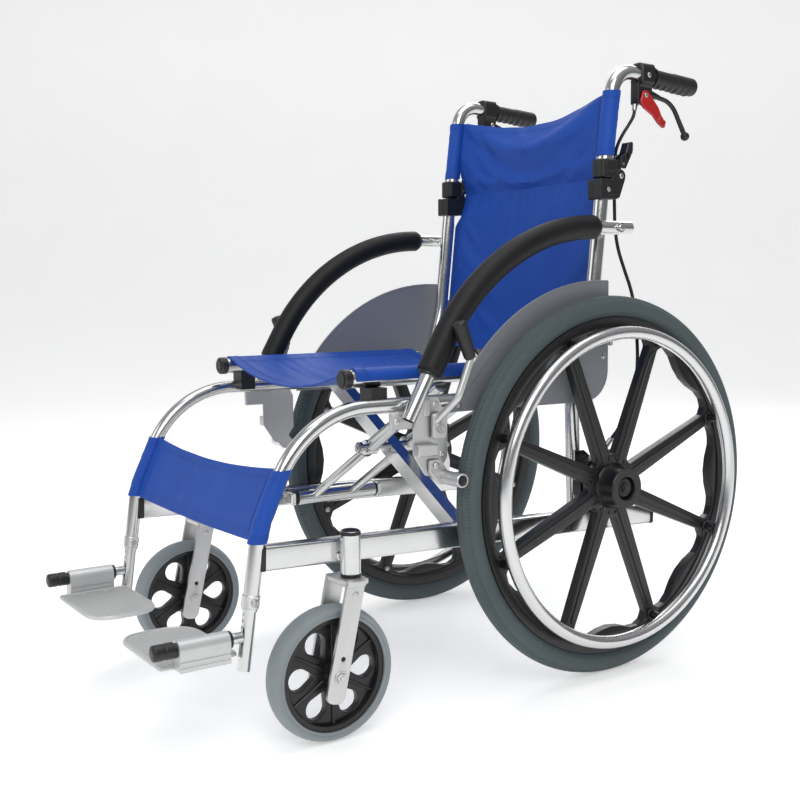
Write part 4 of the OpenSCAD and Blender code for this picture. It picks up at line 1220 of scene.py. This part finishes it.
def creased(g, marks):
    """The sheet with soft creases, each from (u, t) to (u, t) with a depth in mm and a width."""
    nor, n, m = grid_normals(g), len(g), len(g[0])
    out = [list(row) for row in g]
    for i in range(n):
        for j in range(m):
            u, t, push = 2 * j / (m - 1) - 1, i / (n - 1), 0.0
            for (u0, t0), (u1, t1), deep, wide in marks:
                d = Vector((u1 - u0, t1 - t0))
                k = min(1.0, max(0.0, Vector((u - u0, t - t0)).dot(d) / d.length_squared))
                off = (Vector((u - u0, t - t0)) - d * k).length / wide
                swell = math.sin(math.pi * min(1.0, 0.12 + 0.88 * k)) ** 0.6
                push += 1.6 * deep * math.exp(-off * off) * swell
            edge = min(1.0, 6 * (1 - abs(u)), 8 * t, 8 * (1 - t))
            out[i][j] = g[i][j] + nor[i][j] * push * max(0.0, edge)
    return out


def back_lower():
    """Cloth between the back posts, from the seat up to the hinge."""
    low = 474
    zs = spaced(low, HINGE_Z, round(40 * FINE), 15)[:-3] + [730, HINGE_Z]
    half = lambda z: 187 if z < 684 else 175 if z > 700 else 187 - 12 * (z - 684) / 16
    n = round(52 * FINE)
    us = columns(n)
    g = []
    for z in zs:
        belly = math.sin(math.pi * (z - low + 40) / 304)
        g.append([Vector((u * half(z), lower_y(z) + 9 * (1 - u * u) * belly, z)) for u in us])
    for p in g[-1]:
        p.y = HINGE_Y
    g = drape(g, lambda i, j: j < 3 or j > len(us) - 4 or i == len(zs) - 1, 0.010,
              50, 8.4)
    g = creased(g, [((0.95, 0.86), (0.1, 0.40), 2.6, 0.07), ((0.97, 0.70), (0.35, 0.28), -2.2, 0.06),
                    ((-0.95, 0.80), (-0.35, 0.45), 2.0, 0.08), ((0.6, 0.95), (-0.5, 0.62), -1.8, 0.06),
                    ((-0.9, 0.35), (-0.2, 0.16), 1.6, 0.07), ((0.9, 0.30), (0.2, 0.12), 1.4, 0.07)])
    hem = lambda i, j: i < 3 or j < 3 or j > len(us) - 4
    lines = grid_lines(g, [2, 3], [2, len(us) - 3], 1.35)
    o = sheet_object("back_lower_cloth", g, 1.4, hem, lines,
                     lambda x: folds(x, "frame_left"))
    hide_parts("back_lower")


def back_upper():
    """Cloth between the upper posts, from the hinge up to the top edge."""
    n = round(52 * FINE)
    us = columns(n)
    ts = [0, 8 / 126] + [k / 126 for k in range(14, 105, 6)] + [112 / 126, 119 / 126, 1]
    g = []
    for t in ts:
        row = []
        for u in us:
            top = 864 - 8 * (1 - u * u) ** 0.8
            z = HINGE_Z + t * (top - HINGE_Z)
            table = [(HINGE_Z, HINGE_Y), (748, 53), (764, 48.5), (780, 45), (800, 43),
                     (870, upper_post_y(870) + 4)]
            half = 175 if z < 762 else 179.5 if z > 770 else 175 + 4.5 * (z - 762) / 8
            y = HINGE_Y if t == 0 else smooth_table(table, z)
            row.append(Vector((u * half, y + 12 * (1 - u * u) * math.sin(math.pi / 2 * t), z)))
        g.append(row)
    g = drape(g, lambda i, j: j < 2 or j > len(us) - 3 or i == 0, 0.009, 40, 5.7)
    g = creased(g, [((0.95, 0.45), (0.0, 0.12), 2.4, 0.08), ((-0.75, 0.98), (-0.45, 0.25), 2.4, 0.07),
                    ((-0.2, 0.97), (0.05, 0.50), -2.4, 0.06), ((0.9, 0.80), (0.3, 0.55), -1.8, 0.07),
                    ((-0.95, 0.40), (-0.3, 0.10), 1.8, 0.08)])
    hem = lambda i, j: i > len(ts) - 4 or j < 3 or j > len(us) - 4
    lines = grid_lines(g, [len(ts) - 3], [2, 3, len(us) - 3, len(us) - 4], 1.35)
    o = sheet_object("back_upper_cloth", g, 1.4, hem, lines,
                     lambda x: folds(x, "upper_back_left"))
    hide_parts("back_upper")


def sleeve(name, body, axis, r, lo, hi, inner):
    """Cloth sewn round a tube whose axis is x and y(z). inner is the angle of its seam."""
    n, m = max(6, round((hi - lo) / 3.2)), 30
    for side, sx in SIDES.items():
        g = []
        for i in range(n + 1):
            z = lo + (hi - lo) * i / n
            row = []
            for j in range(m + 1):
                a = inner + 2 * math.pi * j / m
                broad = noise.noise(Vector((math.cos(a) * 1.5, math.sin(a) * 1.5, z * 0.11 + sx)))
                small = noise.noise(Vector((a * 0.7, z * 0.3, 4.0 * sx)))
                rr = r + 0.5 + (0.5 * broad + 0.35 * small) * (0.4 if i in (0, n) else 1)
                row.append(Vector((sx * (axis[0] + rr * math.cos(a)), axis[1](z) + rr * math.sin(a), z)))
            g.append(row)
        hem = lambda i, j: i < 3 or i > n - 3
        lines = [line for lift in (1.1, -1.1) for line in grid_lines(g, [3, n - 3], [], lift, both=False)]
        sheet_object(f"{name}_{side}", g, 1.1, hem, lines,
                     lambda x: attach(x, f"{body}_{side}"))


def leg_y(z):
    """y of the front tube at the height of the calf strap."""
    return between([(255, -566.2), (262, -563.3), (273, -559.8), (285, -556.4), (349, -526.6),
                    (360, -521.5)], z)


STRAP_LOW, STRAP_TOP = 262, 349


def calf_strap():
    """Strap between the front posts."""
    n, m = 22, 72
    half = 191.8
    g = []
    for i in range(n + 1):
        t = i / n
        row = []
        for j in range(m + 1):
            u = -1 + 2 * j / m
            sag = 1 - u * u
            z = STRAP_LOW + (STRAP_TOP - STRAP_LOW) * t - sag * (3 + 7 * t)
            ripple = 0.9 * noise.noise(Vector((u * 6, t * 2.2, 1.3))) * sag
            row.append(Vector((u * half, leg_y(z) + ripple + 5 * sag * math.sin(math.pi * t) * 0.5, z)))
        g.append(row)
    hem = lambda i, j: i < 4 or i > n - 4
    lines = grid_lines(g, [3, n - 3], [3, m - 3], 1.35)
    o = sheet_object("calf_strap_cloth", g, 1.5, hem, lines,
                     lambda x: folds(x, "frame_left"))
    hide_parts("calf_strap")


seat()
back_lower()
back_upper()
calf_strap()
sleeve("back_sleeve", "upper_back", (POST_X, upper_post_y), 12.0, 768, 864, math.pi)
sleeve("strap_sleeve", "frame", (FRONT_X, leg_y), 11.0, STRAP_LOW, STRAP_TOP, math.pi)


# ---------------------------------------------------------------- stage and light

def stage_material():
    m = bpy.data.materials.new("paper")
    m.use_nodes = True
    nodes, link = m.node_tree.nodes, m.node_tree.links.new
    b = tuned(nodes["Principled BSDF"], Roughness=0.85, Emission_Strength=0.42)
    drift = noise_node(nodes, link, nodes.new("ShaderNodeTexCoord").outputs["Object"], 3.0, 2)
    colour = blended(nodes, link, drift, (0.86, 0.86, 0.855), (0.89, 0.89, 0.885))
    for name in ("Base Color", "Emission Color"):
        link(colour, b.inputs[name])
    return m


def make_stage():
    """Floor that curves up into a wall behind the chair, seen from the camera."""
    ahead = Vector((-math.sin(AZIMUTH), math.cos(AZIMUTH), 0))
    side = Vector((math.cos(AZIMUTH), math.sin(AZIMUTH), 0))
    profile = [(-9, 0), (-4, 0), (0, 0), (3.6, 0)]
    for k in range(1, 17):
        t = math.pi / 2 * k / 16
        profile.append((3.6 + 2.2 * math.sin(t), 2.2 - 2.2 * math.cos(t)))
    profile.append((5.8, 7))
    v = [ahead * d + side * w + Vector((0, 0.2, h)) for d, h in profile for w in (-9, 9)]
    me = bpy.data.meshes.new("floor")
    me.from_pydata(v, [], [(2 * i, 2 * i + 1, 2 * i + 3, 2 * i + 2) for i in range(len(profile) - 1)])
    me.materials.append(stage_material())
    me.shade_smooth()
    floor = bpy.data.objects.new("floor", me)
    bpy.context.scene.collection.objects.link(floor)


def area(name, where, size, power):
    """Area lamp that is turned to the middle of the chair."""
    lamp = bpy.data.lights.new(name, "AREA")
    lamp.shape = "RECTANGLE"
    lamp.size, lamp.size_y = size
    lamp.energy = power
    o = bpy.data.objects.new(name, lamp)
    o.location = where
    o.rotation_euler = (Vector((0, 0.15, 0.4)) - Vector(where)).to_track_quat("-Z", "Y").to_euler()
    bpy.context.scene.collection.objects.link(o)


def light():
    """A grey sky that is paler overhead, and four lamps."""
    world = bpy.data.worlds.new("studio")
    bpy.context.scene.world = world
    world.use_nodes = True
    nodes, link = world.node_tree.nodes, world.node_tree.links.new
    bg = nodes["Background"]
    at, sep = nodes.new("ShaderNodeTexCoord"), nodes.new("ShaderNodeSeparateXYZ")
    ramp = nodes.new("ShaderNodeValToRGB")
    link(at.outputs["Generated"], sep.inputs["Vector"])
    link(sep.outputs["Z"], ramp.inputs["Fac"])
    ramp.color_ramp.elements[0].color = (0.34, 0.35, 0.37, 1)
    ramp.color_ramp.elements[1].position = 0.8
    ramp.color_ramp.elements[1].color = (0.95, 0.96, 1.0, 1)
    link(ramp.outputs["Color"], bg.inputs["Color"])
    bg.inputs["Strength"].default_value = 0.42
    area("key", (2.4, -1.6, 2.6), (2.2, 2.2), 52)
    area("fill", (-1.2, -2.8, 1.7), (2.0, 1.6), 14)
    area("rim", (-1.8, 2.4, 2.4), (2.0, 1.6), 30)
    area("top", (0.2, 0.2, 3.4), (2.6, 2.6), 36)
    bpy.context.scene.view_settings.view_transform = "Standard"


make_stage()
light()
